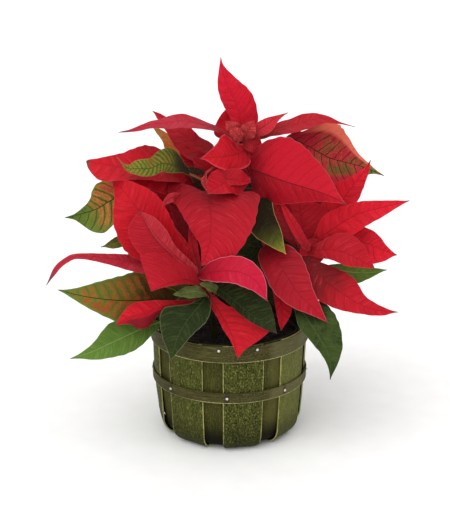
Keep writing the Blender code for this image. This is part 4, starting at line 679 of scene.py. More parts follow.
rightLeaves = [
    blade("lowerRight", "mossLeaf",
        [(66, -58, 158), (76, -72, 146), (86, -83, 133), (95, -90, 119), (99, -94, 104), (99, -95, 90)],
        (0.2, -0.9, 0.45), (18, 26, 24, 15, 4), (6, 12, 10, 6, 2), at=0.64),
    # three dark leaves put in as painted shade in the tangle between the heads
    blade("tangleRight", "nightLeaf", [(78, 0, 180), (71, -4, 194), (64, -8, 208), (59, -12, 221)],
        (0, -1, 0.3), (6, 12, 15, 13, 6), (6, 10, 10, 7, 3), at=0.75),
    blade("tangleCentre", "nightLeaf", [(34, 0, 151), (27, -6, 173), (19, -12, 195), (11, -16, 215)],
        (0, -1, 0.3), (8, 15, 16, 12, 4), (8, 14, 15, 11, 3), at=0.35),
    blade("tangleLow", "nightLeaf", [(50, -16, 139), (43, -22, 159), (35, -26, 175), (28, -30, 191)],
        (0, -1, 0.3), (5, 9, 9, 6, 2), (5, 9, 9, 6, 2), at=0.4),
    blade("rightEdge", "freshLeaf",
        [(92, -4, 177), (109, -10, 177), (130, -14, 175), (147, -16, 176), (162, -17, 179)],
        (0, -0.8, 0.6), (3, 7, 9, 7, 3), (3, 10, 14, 8, 2), wave=1.0, at=0.62),
]
rightBracts = [
    blade("narrowCurled", "crimson",
        [(79, -44, 208), (71, -42, 220), (63, -36, 233), (56, -30, 245), (51, -26, 254)],
        (0.1, -1, 0.2), (4, 5, 5, 4, 2), (4, 5, 5, 4, 2), fold=20, wave=0.5, at=0.97),
    blade("narrowDark", "deepRed", [(67, -30, 215), (57, -24, 229), (49, -12, 245), (44, 4, 264)],
        (0, -1, 0.2), (6, 10, 11, 10, 5), (6, 11, 12, 10, 5), wave=0.5, at=0.94),
    blade("uprightInner", "crimson", [(78, -18, 201), (75, -16, 218), (72, -12, 237), (70, -8, 257)],
        (0, -1, 0.2), (10, 22, 27, 26, 14), (10, 24, 28, 24, 12), at=0.97),
    blade("rightLowFill", "crimson", [(91, -30, 216), (86, -34, 206), (80, -36, 197), (73, -38, 187)],
        (0, -1, 0.3), (8, 12, 12, 9, 3), (8, 14, 14, 10, 3), at=0.9),
    blade("pointingRight", "brightRed",
        [(78, -24, 207), (93, -32, 219), (110, -40, 234), (127, -46, 246), (148, -50, 253), (176, -52, 261)],
        (0.1, -0.9, 0.4), (4, 16, 13, 9, 3.5), (4, 13, 16, 11, 3.5), at=0.98),
    blade("pointingUp", "brightRed",
        [(90, -12, 218), (106, -10, 237), (118, -8, 255), (130, -5, 271), (138, -3, 281), (143, -2, 291)],
        (-0.3, -1, 0.2), (8, 16, 18, 8, 2), (6, 12, 14, 10, 3.5), at=0.96),
    blade("rightBack", "brightRed",
        [(79, -30, 206), (96, -32, 214), (116, -35, 217), (136, -38, 214), (153, -40, 207), (168, -41, 202)],
        (0, -1, 0.3), (4, 8, 15, 13, 4), (4, 10, 18, 22, 9), at=0.93),
    blade("rightFront", "crimson",
        [(78, -34, 205), (92, -44, 208), (107, -52, 210), (123, -57, 205), (134, -59, 199), (143, -60, 194)],
        (0, -0.9, 0.45), (4, 12, 19, 15.5, 6), (6, 9, 12, 11, 4), point=0.8, at=0.94),
    blade("longLower", "shadedRed",
        [(74, -34, 201), (84, -44, 189), (97, -54, 178), (113, -62, 168), (129, -68, 159), (147, -72, 154),
         (166, -74, 153)],
        (-0.1, -0.8, 0.6), (6, 17, 18, 10, 3), (8, 21, 18, 10, 3.5), wave=2.2, ripples=2.6, at=0.86),
    blade("smallHanging", "brightRed",
        [(42, -28, 191), (45, -36, 175), (50, -43, 158), (53, -48, 144), (52, -52, 125)],
        (0, -1, 0.2), (3, 5, 9, 10, 4), (3, 4, 5, 6, 3), wave=0.6, at=0.72),
]
backLeftLeaves = [
    blade("leftUpper", "patchedLeaf",
        [(-81, -8, 261), (-101, -16, 259), (-118, -24, 255), (-132, -32, 248), (-144, -38, 245),
         (-164, -42, 241)],
        (-0.1, -1, 0.3), (3, 10, 17, 25, 4.5), (6, 17, 21, 10, 1.2), wave=2.0, at=0.72),
    blade("leftSliver", "limeLeaf", [(-97, -12, 212), (-110, -18, 210), (-121, -23, 208), (-131, -26, 206)],
        (0, -0.9, 0.4), (3, 5, 6, 5, 1), (3, 5, 6, 4, 0.8), wave=0.5, at=0.62),
    blade("rearLeftLeaf", "darkLeaf", [(-66, 56, 190), (-88, 72, 188), (-104, 84, 176), (-114, 92, 158)],
        (-0.4, 0.5, 0.9), *even(46), at=0.6),
    blade("rearLowLeaf", "mossLeaf", [(-34, 72, 172), (-44, 100, 168), (-54, 122, 154), (-60, 134, 134)],
        (-0.2, 0.6, 0.9), *even(46), at=0.45),
]
backLeftBracts = [
    blade("rearLeft", "scarlet", [(-74, 40, 240), (-96, 48, 252), (-116, 54, 250), (-132, 58, 236)],
        (-0.3, 0.4, 1), *even(46), at=0.95),
    blade("rearDownLeft", "crimson", [(-70, 50, 230), (-88, 68, 232), (-102, 82, 218), (-110, 90, 196)],
        (-0.3, 0.7, 0.8), *even(44), at=0.9),
    blade("rearDown", "scarlet", [(-60, 54, 232), (-62, 80, 234), (-64, 102, 220), (-64, 114, 198)],
        (0, 0.8, 0.8), *even(46), at=0.93),
    blade("rearInnerLeft", "crimson", [(-54, 48, 242), (-38, 68, 252), (-26, 90, 248), (-20, 104, 232)],
        (0.2, 0.5, 1), *even(40), at=0.98),
    blade("rearYoungLeft", "youngBract", [(-70, 44, 248), (-78, 52, 263), (-84, 58, 273)],
        (-0.4, 0.6, 0.8), *even(20), wave=0.6, at=1.0),
]
backRightLeaves = [
    blade("rearRightLeaf", "mossLeaf", [(76, 66, 196), (100, 78, 194), (120, 86, 182), (132, 92, 164)],
        (0.4, 0.5, 0.9), *even(46), at=0.55),
    blade("rearMiddleLeaf", "darkLeaf", [(36, 74, 176), (34, 104, 174), (30, 130, 160), (26, 148, 138)],
        (0, 0.6, 0.9), *even(48), at=0.45),
    blade("rearLowRightLeaf", "freshLeaf", [(60, 62, 158), (78, 84, 154), (92, 102, 140), (100, 112, 120)],
        (0.4, 0.6, 0.8), *even(44), at=0.4),
]
backRightBracts = [
    blade("rearRight", "scarlet", [(70, 62, 244), (92, 70, 256), (112, 76, 254), (128, 80, 240)],
        (0.3, 0.4, 1), *even(46), at=0.96),
    blade("rearDownRight", "crimson", [(68, 70, 236), (84, 88, 242), (98, 104, 230), (106, 116, 208)],
        (0.3, 0.7, 0.8), *even(44), at=0.9),
    blade("rearDownMiddle", "scarlet", [(56, 74, 238), (54, 100, 242), (50, 124, 228), (48, 138, 206)],
        (0, 0.8, 0.8), *even(46), at=0.93),
    blade("rearInnerRight", "crimson", [(48, 68, 240), (34, 86, 248), (20, 106, 242), (8, 118, 228)],
        (-0.2, 0.4, 1), *even(38), at=0.98),
    blade("rearYoungRight", "youngBract", [(71, 62, 251), (85, 66, 263), (97, 70, 271)],
        (0.4, 0.5, 0.8), *even(20), wave=0.6, at=1.0),
    blade("sideRight", "crimson", [(80, 40, 230), (102, 38, 236), (122, 34, 230), (136, 30, 214)],
        (0.4, -0.1, 1), *even(40), at=0.86),
]
plants = {
    "top": {
        "foot": (6, 4), "crown": (10, 0, 312), "joint": 0.8, "neck": (0, 0, 5), "beads": 6,
        "leaves": topLeaves, "bracts": topBracts,
    },
    "left": {
        "foot": (-16, -24), "crown": (-31, -56, 184), "joint": 0.7, "neck": (-1, -3, 3), "beads": 0,
        "leaves": leftLeaves, "bracts": leftBracts,
    },
    "right": {
        "foot": (24, -12), "crown": (77, -20, 205), "joint": 0.68, "neck": (2, -1, 3), "beads": 0,
        "leaves": rightLeaves, "bracts": rightBracts,
    },
    "backLeft": {
        "foot": (-16, 26), "crown": (-62, 36, 236), "joint": 0.76, "neck": (0, 0, 9), "beads": 4,
        "leaves": backLeftLeaves, "bracts": backLeftBracts,
    },
    "backRight": {
        "foot": (22, 24), "crown": (58, 58, 240), "joint": 0.76, "neck": (0, 0, 9), "beads": 4,
        "leaves": backRightLeaves, "bracts": backRightBracts,
    },
}
# fmt: on
stemSizes = {
    "footRadius": 3.8, "topRadius": 2.4, "headSwell": 0.4, "footDepth": 60.0, "clearOfSoil": 122.0,
    "runIn": 20.0, "footEnds": 8.0, "riseStarts": 6.0, "bow": 0.12, "points": 10, "sides": 18, "step": 2.2,
    "nodeSwell": 0.55, "nodeLength": 3.2,
}  # fmt: skip
bladeSizes = {
    "petioleRadius": 1.25, "petioleRows": 9, "petioleSpan": 10.0, "petioleBow": 0.05, "tipHalfWidth": 0.32,
    "halfThickness": 0.3, "edgeThinning": 0.14, "rowStep": 1.5, "rowLimits": (22, 74), "columnStep": 1.5,
    "columnLimits": (13, 27), "ribCrowding": 1.35, "sideVeins": 9.0, "spacingLimits": (3.6, 11.0),
    "veinSlant": 0.42, "veinCurve": 0.3, "scallop": 0.014, "rippleShift": 2.6, "flutterRate": 3.3,
    "flutterDepth": 0.22, "flutterShift": 1.9, "roll": 0.45, "rollAlong": 7.1, "rollAcross": 2.3,
    "rollWidth": 12.0,
}  # fmt: skip
widthPlaces = (0.0, 0.1, 0.3, 0.5, 0.7, 0.9, 1.0)  # shares of a blade's length with a given half-width
goldenAngle = 2.399963  # in radians; turns by it never line up


def smoothRoute(points, count):
    # count points spaced evenly along a smooth curve through points
    knots = [Vector(p) for p in points]
    steps = 16  # between one knot and the next
    if len(knots) == 2:
        dense = [knots[0].lerp(knots[1], i / steps) for i in range(steps + 1)]
    else:
        ends = [2 * knots[0] - knots[1], *knots, 2 * knots[-1] - knots[-2]]
        dense = []
        for i in range(len(knots) - 1):
            a, b, c, d = ends[i : i + 4]
            for k in range(steps):
                t = k / steps
                square = (2 * a - 5 * b + 4 * c - d) * t**2
                cube = (3 * b - a - 3 * c + d) * t**3
                dense.append(0.5 * (2 * b + (c - a) * t + square + cube))
        dense.append(knots[-1])
    lengths = routeLengths(dense)
    wanted = np.linspace(0, lengths[-1], count)
    columns = [np.interp(wanted, lengths, [p[axis] for p in dense]) for axis in range(3)]
    return [Vector(p) for p in zip(*columns)]


def routeLengths(route):
    # how far along the route each of its points is
    return np.cumsum([0.0] + [(Vector(b) - Vector(a)).length for a, b in zip(route, route[1:])])


def tangents(route):
    # which way the route runs at each of its points
    last = len(route) - 1
    return [(route[min(i + 1, last)] - route[max(i - 1, 0)]).normalized() for i in range(len(route))]


def pointOn(route, share):
    place = share * (len(route) - 1)
    i = min(int(place), len(route) - 2)
    return route[i].lerp(route[i + 1], place - i)


def stemRoute(plant):
    # straight up out of the soil, then in a bow to the head
    x, y = plant["foot"]
    crown = Vector(plant["crown"])
    clearance = stemSizes["clearOfSoil"]
    clear = Vector((x, y, clearance))
    bend = clear.lerp(crown, 0.5) + Vector((0, 0, stemSizes["bow"] * (crown - clear).length))
    rise = [(x, y, clearance - stemSizes["runIn"]), clear, bend, crown]
    rise = smoothRoute(rise, stemSizes["points"])
    rise = [p for p in rise if p.z > clearance - stemSizes["riseStarts"]]
    foot = [Vector((x, y, z)) for z in (stemSizes["footDepth"], clearance - stemSizes["footEnds"])]
    return foot + rise


def partOfRoute(route, low, high):
    count = len(route) - 1
    inside = [i for i in range(count + 1) if low < i / count < high]
    return [pointOn(route, low)] + [route[i] for i in inside] + [pointOn(route, high)]


def halfWidth(shape, along, side):
    # half the blade's width at a share of its length, on its left (0) or right (1) side
    least = bladeSizes["tipHalfWidth"]
    widths = (bladeSizes["petioleRadius"], *shape["sides"][side], least)
    i = 0
    while i < len(widthPlaces) - 2 and widthPlaces[i + 1] < along:
        i += 1
    step = widthPlaces[i + 1] - widthPlaces[i]
    share = (along - widthPlaces[i]) / step
    a, b = widths[i], widths[i + 1]
    if i == 0:
        return a + (b - a) * math.sin(math.pi / 2 * share) ** 0.8
    before = (b - widths[i - 1]) / (widthPlaces[i + 1] - widthPlaces[i - 1]) * step
    if i + 2 == len(widthPlaces):
        return b + (a - b) * (1 - share) ** shape["point"]
    after = (widths[i + 2] - a) / (widthPlaces[i + 2] - widthPlaces[i]) * step
    square = (3 * (b - a) - 2 * before - after) * share**2
    cube = (2 * (a - b) + before + after) * share**3
    return max(a + before * share + square + cube, least)


def petioleRoute(stem, shape):
    # from the stem up to the blade in a slight bow
    start, base = pointOn(stem, shape["at"]), Vector(shape["spine"][0])
    bend = Vector((0, 0, bladeSizes["petioleBow"] * (base - start).length))
    shares = [i / bladeSizes["petioleRows"] for i in range(bladeSizes["petioleRows"])]
    return [start.lerp(base, share) + bend * math.sin(math.pi * share) for share in shares]


def limited(value, limits):
    return min(max(value, limits[0]), limits[1])


def slabFaces(rows, columns):
    # faces of a closed slab whose upper and then lower grid of points are numbered row by row
    half = rows * columns
    first = (np.arange(rows - 1)[:, None] * columns + np.arange(columns - 1)).ravel()
    upper = np.stack([first, first + 1, first + columns + 1, first + columns], axis=1)
    rim = np.concatenate([
        np.arange(columns), np.arange(1, rows) * columns + columns - 1,
        (rows - 1) * columns + np.arange(columns - 2, -1, -1), np.arange(rows - 2, 0, -1) * columns,
    ])  # fmt: skip
    after = np.roll(rim, -1)
    border = np.stack([after, rim, rim + half, after + half], axis=1)
    return np.concatenate([upper, upper[:, ::-1] + half, border]).tolist()


def bladePart(stem, shape, number):
    # a closed slab: the petiole from inside the stem, then the blade with its rib, quilting and waved edge
    sizes, look = bladeSizes, looks[shape["look"]]
    length = routeLengths(shape["spine"])[-1]
    widest = [max(side) for side in shape["sides"]]
    rows = int(limited(length / sizes["rowStep"], sizes["rowLimits"]))
    columns = int(limited(sum(widest) / sizes["columnStep"], sizes["columnLimits"])) // 2 * 2 + 1
    spacing = look["spacing"] or limited(length / sizes["sideVeins"], sizes["spacingLimits"])
    crowd = np.linspace(-1, 1, columns)
    v = np.sign(crowd) * np.abs(crowd) ** sizes["ribCrowding"]
    wide, right, flat = np.abs(v), v >= 0, np.ones(columns)
    petiole = petioleRoute(stem, shape)
    lead = len(petiole)
    route = petiole + smoothRoute(shape["spine"], rows)
    turn = number * goldenAngle  # so that no two blades wave alike
    radius, face = sizes["petioleRadius"], Vector(shape["face"])

    def sided(values):
        return np.where(right, values[1], values[0])

    shoulder = sided([drop / most for drop, most in zip(shape["shoulders"], widest)])
    upper, lower, place, share, ribs = [], [], [], [], []
    for r, (centre, along) in enumerate(zip(route, tangents(route))):
        onBlade = r >= lead
        u = max(r - lead, 0) / (rows - 1)
        normal = (face - face.dot(along) * along).normalized()
        across = along.cross(normal)
        swell = math.sin(math.pi * u) ** 0.5 if lead < r < len(route) - 1 else 0.0
        halves = [halfWidth(shape, u, side) if onBlade else radius for side in (0, 1)]
        distance = u * length if onBlade else (r - lead) / lead * sizes["petioleSpan"]
        lobes = 1 + sizes["scallop"] * swell * math.cos(fullTurn * distance / spacing + turn)
        full = sided(halves) * lobes
        reach = wide * full
        tilt = np.radians(sided(shape["folds"])) * min(1.0, 6 * u)
        back = shoulder * reach * (1 - u) ** 4
        ripple = np.sin(fullTurn * (shape["ripples"] * u) + sizes["rippleShift"] * right)
        flutter = fullTurn * (sizes["flutterRate"] * shape["ripples"] * u) + turn
        flutter = np.sin(flutter + sizes["flutterShift"] * right)
        vein = (distance - reach * (sizes["veinSlant"] + sizes["veinCurve"] * wide)) / spacing + 0.5 * right
        quilt = -np.cos(fullTurn * vein) * wide**0.5 * (1 - wide**3) * look["pleat"]
        roll = np.sin(sizes["rollAlong"] * u + turn) * np.cos(sizes["rollAcross"] * v + turn * 1.7)
        roll = roll * sizes["roll"] * np.minimum(full / sizes["rollWidth"], 1)
        small = sizes["flutterDepth"] * shape["wave"] * wide**3 * flutter
        lift = full * np.sin(tilt) * wide**1.15 + swell * (shape["wave"] * wide**1.5 * ripple + small)
        lift = lift + swell * (quilt + roll)
        half = sizes["halfThickness"] - (sizes["edgeThinning"] * wide**3 if onBlade else 0)
        rib = np.maximum(radius * (1 - u) ** 3, half) * np.sqrt(np.maximum(1 - (reach / radius) ** 2, 0))
        spread = reach * np.cos(tilt) * sided((-1.0, 1.0))
        spot = np.array(centre) + spread[:, None] * np.array(across)
        spot = spot + lift[:, None] * np.array(normal) - back[:, None] * np.array(along)
        upper.append(spot + np.maximum(half, 0.5 * rib)[:, None] * np.array(normal))
        lower.append(spot - np.maximum(half, rib)[:, None] * np.array(normal))
        place.append(np.stack([distance * flat, np.sign(v) * reach, full - reach], axis=1))
        share.append(np.stack([u * flat, wide if onBlade else 0 * flat, number * flat], axis=1))
        ribs.append(np.stack([vein if onBlade else 0.5 * flat, 0 * flat, 0 * flat], axis=1))
    below = np.concatenate(ribs) + (0.0, 1.0, 0.0)
    return {
        "points": np.concatenate(upper + lower), "faces": slabFaces(len(route), columns),
        "look": shape["look"], "place": np.concatenate(place * 2), "share": np.concatenate(share * 2),
        "ribs": np.concatenate(ribs + [below]),
    }  # fmt: skip


def stemPart(route, radii, nodes, look):
    # a closed round stem with a swelling at each of its nodes, which are distances along it
    knots = routeLengths(route)
    count = max(int(knots[-1] / stemSizes["step"]), 8)
    fine = smoothRoute(route, count)
    places = np.linspace(0, knots[-1], count)
    thick = np.interp(places, knots, radii)
    for node in nodes:
        thick = thick + stemSizes["nodeSwell"] * np.exp(-(((places - node) / stemSizes["nodeLength"]) ** 2))
    sides = stemSizes["sides"]
    turns = fullTurn * np.arange(sides) / sides
    side = Vector((1, 0, 0))
    points, place = [], []
    for centre, along, radius, distance in zip(fine, tangents(fine), thick, places):
        side = (side - side.dot(along) * along).normalized()
        other = along.cross(side)
        circle = np.cos(turns)[:, None] * np.array(side) + np.sin(turns)[:, None] * np.array(other)
        points.append(np.array(centre) + radius * circle)
        place.append(np.stack([distance + 0 * turns, turns * radius, 5 + 0 * turns], axis=1))
    first = (np.arange(count - 1)[:, None] * sides + np.arange(sides)).ravel()
    after = (np.arange(count - 1)[:, None] * sides + (np.arange(sides) + 1) % sides).ravel()
    walls = np.stack([first, after, after + sides, first + sides], axis=1).tolist()
    ends = [list(range(sides - 1, -1, -1)), list(range((count - 1) * sides, count * sides))]
    zeros = np.zeros((count * sides, 3))
    return {
        "points": np.concatenate(points), "faces": walls + ends, "look": look,
        "place": np.concatenate(place), "share": zeros, "ribs": zeros,
    }  # fmt: skip


def joinParts(name, parts, skins):
    # one object from closed parts, each with its own look
    names = list(dict.fromkeys(part["look"] for part in parts))
    faces, slots, start = [], [], 0
    for part in parts:
        faces += [[start + i for i in face] for face in part["faces"]]
        slots += [names.index(part["look"])] * len(part["faces"])
        start += len(part["points"])
    keys = ("points", "place", "share", "ribs")
    joined = {key: np.concatenate([part[key] for part in parts]) for key in keys}
    mesh = newMesh(name, joined.pop("points"), faces, smoothAngle=50, marks=joined)
    for look in names:
        mesh.materials.append(skins[look])
    mesh.polygons.foreach_set("material_index", slots)
    return newObject(name, mesh)


def buildPlants(skins, budSkin):
    # each plant is two pieces, the green stem with its leaves and the red one with its bracts, and its buds
    number = 0
    foot, top = stemSizes["footRadius"], stemSizes["topRadius"]
    for name, plant in plants.items():
        stem = stemRoute(plant)
        nodeEnd = name.replace("L", "_l").replace("R", "_r")
        joint = plant["joint"]
        green = partOfRoute(stem, 0.0, joint)
        red = [*partOfRoute(stem, joint, 1.0), stem[-1] + Vector(plant["neck"])]
        count = len(green) - 1
        greenRadii = [foot - (foot - top) * joint * max(0, i - 1) / (count - 1) for i in range(count + 1)]
        swell = top + stemSizes["headSwell"] - greenRadii[-1]
        redRadii = [greenRadii[-1] + swell * i / (len(red) - 1) for i in range(len(red))]
        for kind, low, high, route, radii, look, piece, node, slot in (
            ("leaves", 0.0, joint, green, greenRadii, "greenStem", "LeafyStem", "leafy_stem", "green_leaf"),
            ("bracts", joint, 1.0, red, redRadii, "redStem", "Bracts", "bloom", "red_bract"),
        ):
            length = routeLengths(route)[-1]
            nodes = [(shape["at"] - low) / (high - low) * length for shape in plant[kind]]
            parts = [stemPart(route, radii, nodes, look)]
            for shape in plant[kind]:
                number += 1
                parts.append(bladePart(stem, shape, number))
            made = joinParts(name + piece, parts, skins)
            placeInFrame(made, slot, f"{node}_{nodeEnd}")
            print(made.name, len(parts) - 1, "blades,", len(made.data.polygons), "faces")
        if plant["beads"]:
            buildCyathia(name, nodeEnd, plant, red, budSkin)


# The basket

# the edge and foot values paint shade: darker beside a stave's edges and towards its foot, where it lies in
# shadow
plainWood = {"grain": (1.1, 0.03), "speckle": 0.12, "sunk": 0.0, "foot": 0.0, "roughness": 0.7}
woodLook = {
    "stave": plainWood | {
        "ground": [(0.0, (31, 34, 8)), (0.45, (59, 63, 19)), (1.0, (95, 99, 38))],
        "dark": (18, 17, 6), "pale": (150, 152, 80), "stain": (50, 27, 13), "speckle": 0.42,
        "line": (186, 182, 116), "grain": (1.1, 0.045), "roughness": 0.62, "foot": 0.5,
    },
    "inner": plainWood | {
        "ground": [(0.0, (36, 36, 10)), (0.5, (59, 59, 20)), (1.0, (90, 89, 36))],
        "dark": (14, 12, 5), "pale": (128, 124, 66), "stain": (40, 24, 12), "speckle": 0.25,
        # painted shade: the inner staves darken beside their edges and at their foot
        "line": (90, 86, 46), "grain": (1.1, 0.045), "sunk": 0.85, "foot": 0.96,
    },
    "band": plainWood | {
        "ground": [(0.0, (32, 29, 11)), (0.5, (61, 58, 24)), (1.0, (98, 95, 46))],
        "dark": (28, 22, 12), "pale": (146, 140, 98), "stain": (46, 26, 15), "line": (196, 188, 130),
        "roughness": 0.58,
    },
    # painted shade: a darker copy of the band wood for the lining inside the rim, which lies in shade
    "lining": plainWood | {
        "ground": [(0.0, (20, 17, 9)), (0.5, (32, 28, 15)), (1.0, (46, 42, 24))],
        "dark": (14, 10, 5), "pale": (70, 64, 38), "stain": (30, 18, 10), "line": (60, 54, 32),
    },
}  # fmt: skip
staveSizes = {
    "height": 119.0, "straightShare": 0.77, "waist": 77.5, "flare": 0.0722, "flareBend": 0.000308,
    "footDrop": 20.0, "footTurn": 17.5, "flatFrom": 58.2, "flatShare": 0.85, "pitch": 45.0,
    "roundFrom": 0.9, "rounding": 5.0, "waver": 0.03, "warp": 0.7, "grainWidth": 80.0, "cuts": (33, 3, 96),
}  # fmt: skip
bandSizes = {
    "around": 0.9995, "roundFrom": 0.46, "rounding": 8.0, "waver": 0.9, "warp": 0.5, "clear": 0.25,
    "grainRadius": 82.0, "cuts": (217, 3, 9),
}  # fmt: skip
# What each kind of piece has on the inputs of its node tree; Middle and Number are those of the first stave
staveRows = {
    "stave": {"Middle": 10.0, "Number": 1.0, "Half angle": 15.0, "Thickness": 2.0, "Inset": 0.0, "Tuck": 0.0},
    "innerStave": {
        "Middle": 32.5, "Number": 21.0, "Half angle": 11.5, "Thickness": 1.6, "Inset": 2.7, "Tuck": 0.02,
    },
}  # fmt: skip
bandRows = {
    "rimBand": {"Outer": 83.9, "Taper": 0.2, "Thickness": 1.4, "Low": 102.3, "High": 119.6, "Number": 1.0},
    "waistHoop": {"Outer": 82.5, "Taper": 0.2, "Thickness": 1.4, "Low": 58.2, "High": 69.2, "Number": 2.0},
    "rimLining": {"Outer": 76.5, "Taper": 0.2, "Thickness": 1.4, "Low": 106.6, "High": 119.0, "Number": 3.0},
}
nailRows = {
    "hoopNails": {"Count": 8, "First": -2.0, "Face radius": 82.5, "Height": 63.7, "Shank": 3.6},
    "rimNailsLong": {"Count": 4, "First": -7.5, "Face radius": 83.9, "Height": 115.4, "Shank": 6.0},
    "rimNailsShort": {"Count": 4, "First": 19.0, "Face radius": 83.9, "Height": 115.4, "Shank": 3.8},
}
nailSizes = {
    "headRadius": 1.5, "headHeight": 0.8, "headSides": 20, "headRows": 12, "shankRadius": 0.7,
    "shankSides": 10, "gap": 0.3, "overlap": 0.1,
}  # fmt: skip
degree = math.pi / 180


def woodSkin(name, look):
    # "grain" is millimetres across and along the fibres and the piece's number, "edge" those from its edge
    def fill(tree):
        across, along, number = tree.split(tree.attribute("grain"))
        edge = tree.attribute("edge", "Fac")
        fine, long = look["grain"]
        broad = tree.noise(tree.vector(across * 0.12, along * 0.02, number * 5.3), 1.0, 3.0)
        streak = tree.noise(tree.vector(across * fine, along * long, number * 3.7), 1.0, 5.0)
        hair = tree.noise(tree.vector(across * 4.5, along * 0.09, number), 1.0, 2.0)
        dots = tree.noise(tree.vector(across * 0.9, along * 0.45, number * 2.1), 1.0, 3.0)
        x, y, z = tree.split(tree.objectPlace())
        turn = x.maths("ARCTAN2", y * -1) * (1 / degree)
        front = (turn - staveRows["stave"]["Middle"]).maths("ABSOLUTE").between(24.0, 10.0)  # more spots
        # painted light: the wood is paler to the right, where more light falls
        paintedLightRight = turn.between(26.0, 34.0) * turn.between(80.0, 60.0)  # a paler part to the right
        hoop, pitch = nailRows["hoopNails"], staveSizes["pitch"]
        beside = (turn - hoop["First"] + 720).maths("MODULO", pitch)
        beside = (beside - pitch / 2).maths("ABSOLUTE").between(20.2, 22.3)  # stained round the nails
        level = (z * 1000 - hoop["Height"]).maths("ABSOLUTE").between(13.0, 3.0)
        worn = (edge + (dots - 0.5) * 1.4).between(0.9, 0.3)  # bare wood at the edges
        colour = tree.painted(
            tree.ramp(streak * 0.7 + broad * 0.5 - 0.1, look["ground"]), look,
            (hair.between(0.52, 0.7) * 0.6, "dark"),
            (hair.between(0.46, 0.28) * 0.4, "pale"),
            (dots.between(0.54, 0.64) * (front * 0.5 + look["speckle"]), "dark"),
            (dots.between(0.42, 0.33) * (front * 0.12 + look["speckle"]), "pale"),
            # painted light on the right
            (paintedLightRight * 0.2, "pale"),
            (beside * level * (streak + 0.2) * 0.8, "stain"),
            # painted shade beside the edges of the inner staves, where the outer staves cover them
            (edge.between(5.0, 1.0) * look["sunk"], "dark"),
            # painted shade: darker towards the foot, where the staves turn under
            (z.between(0.04, 0.012) * look["foot"], "dark"),
            (worn * streak.between(0.25, 0.6) * 0.9, "line"),
        )  # fmt: skip
        relief = streak * 0.5 + hair * 0.35 + dots * 0.15
        shine = streak * 0.12 + look["roughness"]
        return {"Base Color": colour, "Roughness": shine, "Normal": tree.bump(relief, 0.5, 0.35)}

    return newMaterial(name, {"Specular IOR Level": 0.1}, fill)


def stripMesh(tree, cuts):
    # a closed box from -1 to 1, -0.5 to 0.5 and -0.5 to 0.5 with that many points, and its coordinates
    sockets = {"Size": (2.0, 1.0, 1.0)} | {f"Vertices {axis}": count for axis, count in zip("XYZ", cuts)}
    box = tree.node("GeometryNodeMeshCube", {}, sockets)["Mesh"]
    return box, *tree.split(tree.node("GeometryNodeInputPosition")[0])


def endStrip(tree, end, box, position, grain, edge, skin):
    # keeps what the look of the wood needs with the box, bends the box into place and ends the tree
    for name, kind, value in (("grain", "FLOAT_VECTOR", grain), ("edge", "FLOAT", edge)):
        sockets = {"Geometry": box, "Name": name, "Value": value}
        box = tree.node("GeometryNodeStoreNamedAttribute", {"data_type": kind, "domain": "POINT"}, sockets)[0]
    end(tree.moved(box, tree.scaled(position, mm)), skin)
    return tree


def staveTree(skin):
    # one upright stave that follows the basket's profile and turns under at its foot
    tree, given, end = newShapeTree("stave", staveRows["stave"])
    sizes = staveSizes
    box, x, y, z = stripMesh(tree, sizes["cuts"])
    drop, turnIn, turned = sizes["footDrop"], sizes["footTurn"], sizes["straightShare"]
    length = sizes["height"] + drop
    across = (x * (math.pi / 2)).maths("SINE")
    rise = z + 0.5
    down = 1 - rise
    straight = (down / turned).maths("MINIMUM", 1.0)
    theta = ((down - turned) / (1 - turned)).maths("MAXIMUM", 0.0) * (math.pi / 2)
    sine, cosine = theta.maths("SINE"), theta.maths("COSINE")
    seen = sizes["height"] - straight * (sizes["height"] - drop) - sine * drop
    over = (seen - drop).maths("MAXIMUM", 0.0)
    radius = over * sizes["flare"] - over * over * sizes["flareBend"] + sizes["waist"] - (1 - cosine) * turnIn
    normal = ((cosine * drop) ** 2 + (sine * turnIn) ** 2).maths("SQRT")
    rounded = (across.maths("ABSOLUTE") - sizes["roundFrom"]).maths("MAXIMUM", 0.0) * sizes["rounding"]
    half = given["Half angle"] * degree
    along = rise * length
    seed = given["Number"] * 17.3
    waver = tree.noise(tree.vector(across.maths("SIGN"), along * 0.05, seed), 1.0, 2.0) - 0.5
    warp = tree.noise(tree.vector(across * 1.4, along * 0.03, seed + 4), 1.0, 2.0) - 0.5
    depth = given["Inset"] + given["Thickness"] * (y + 0.5) + rounded * y * -2 + warp * sizes["warp"]
    share = ((sizes["flatFrom"] - seen) / (sizes["flatFrom"] - drop)).maths("MAXIMUM", 0.0)
    share = share.maths("MINIMUM", 1.0) ** 1.5 * sizes["flatShare"]
    flat = half.maths("COSINE") / (half * across).maths("COSINE")
    tucked = flat * (1 - given["Tuck"])
    radial = (radius - depth * cosine * drop / normal) * (share * tucked + (1 - share))
    height = seen + depth * sine * turnIn / normal
    angle = given["Middle"] * degree + half * across * (1 + waver * sizes["waver"])
    width = half * sizes["grainWidth"]
    edge = ((1 - across.maths("ABSOLUTE")) * width).maths("MINIMUM", (1 - rise) * length)
    grain = tree.vector(across * width, along, seed + y)
    return endStrip(tree, end, box, tree.around(radial, angle, height), grain, edge, skin)


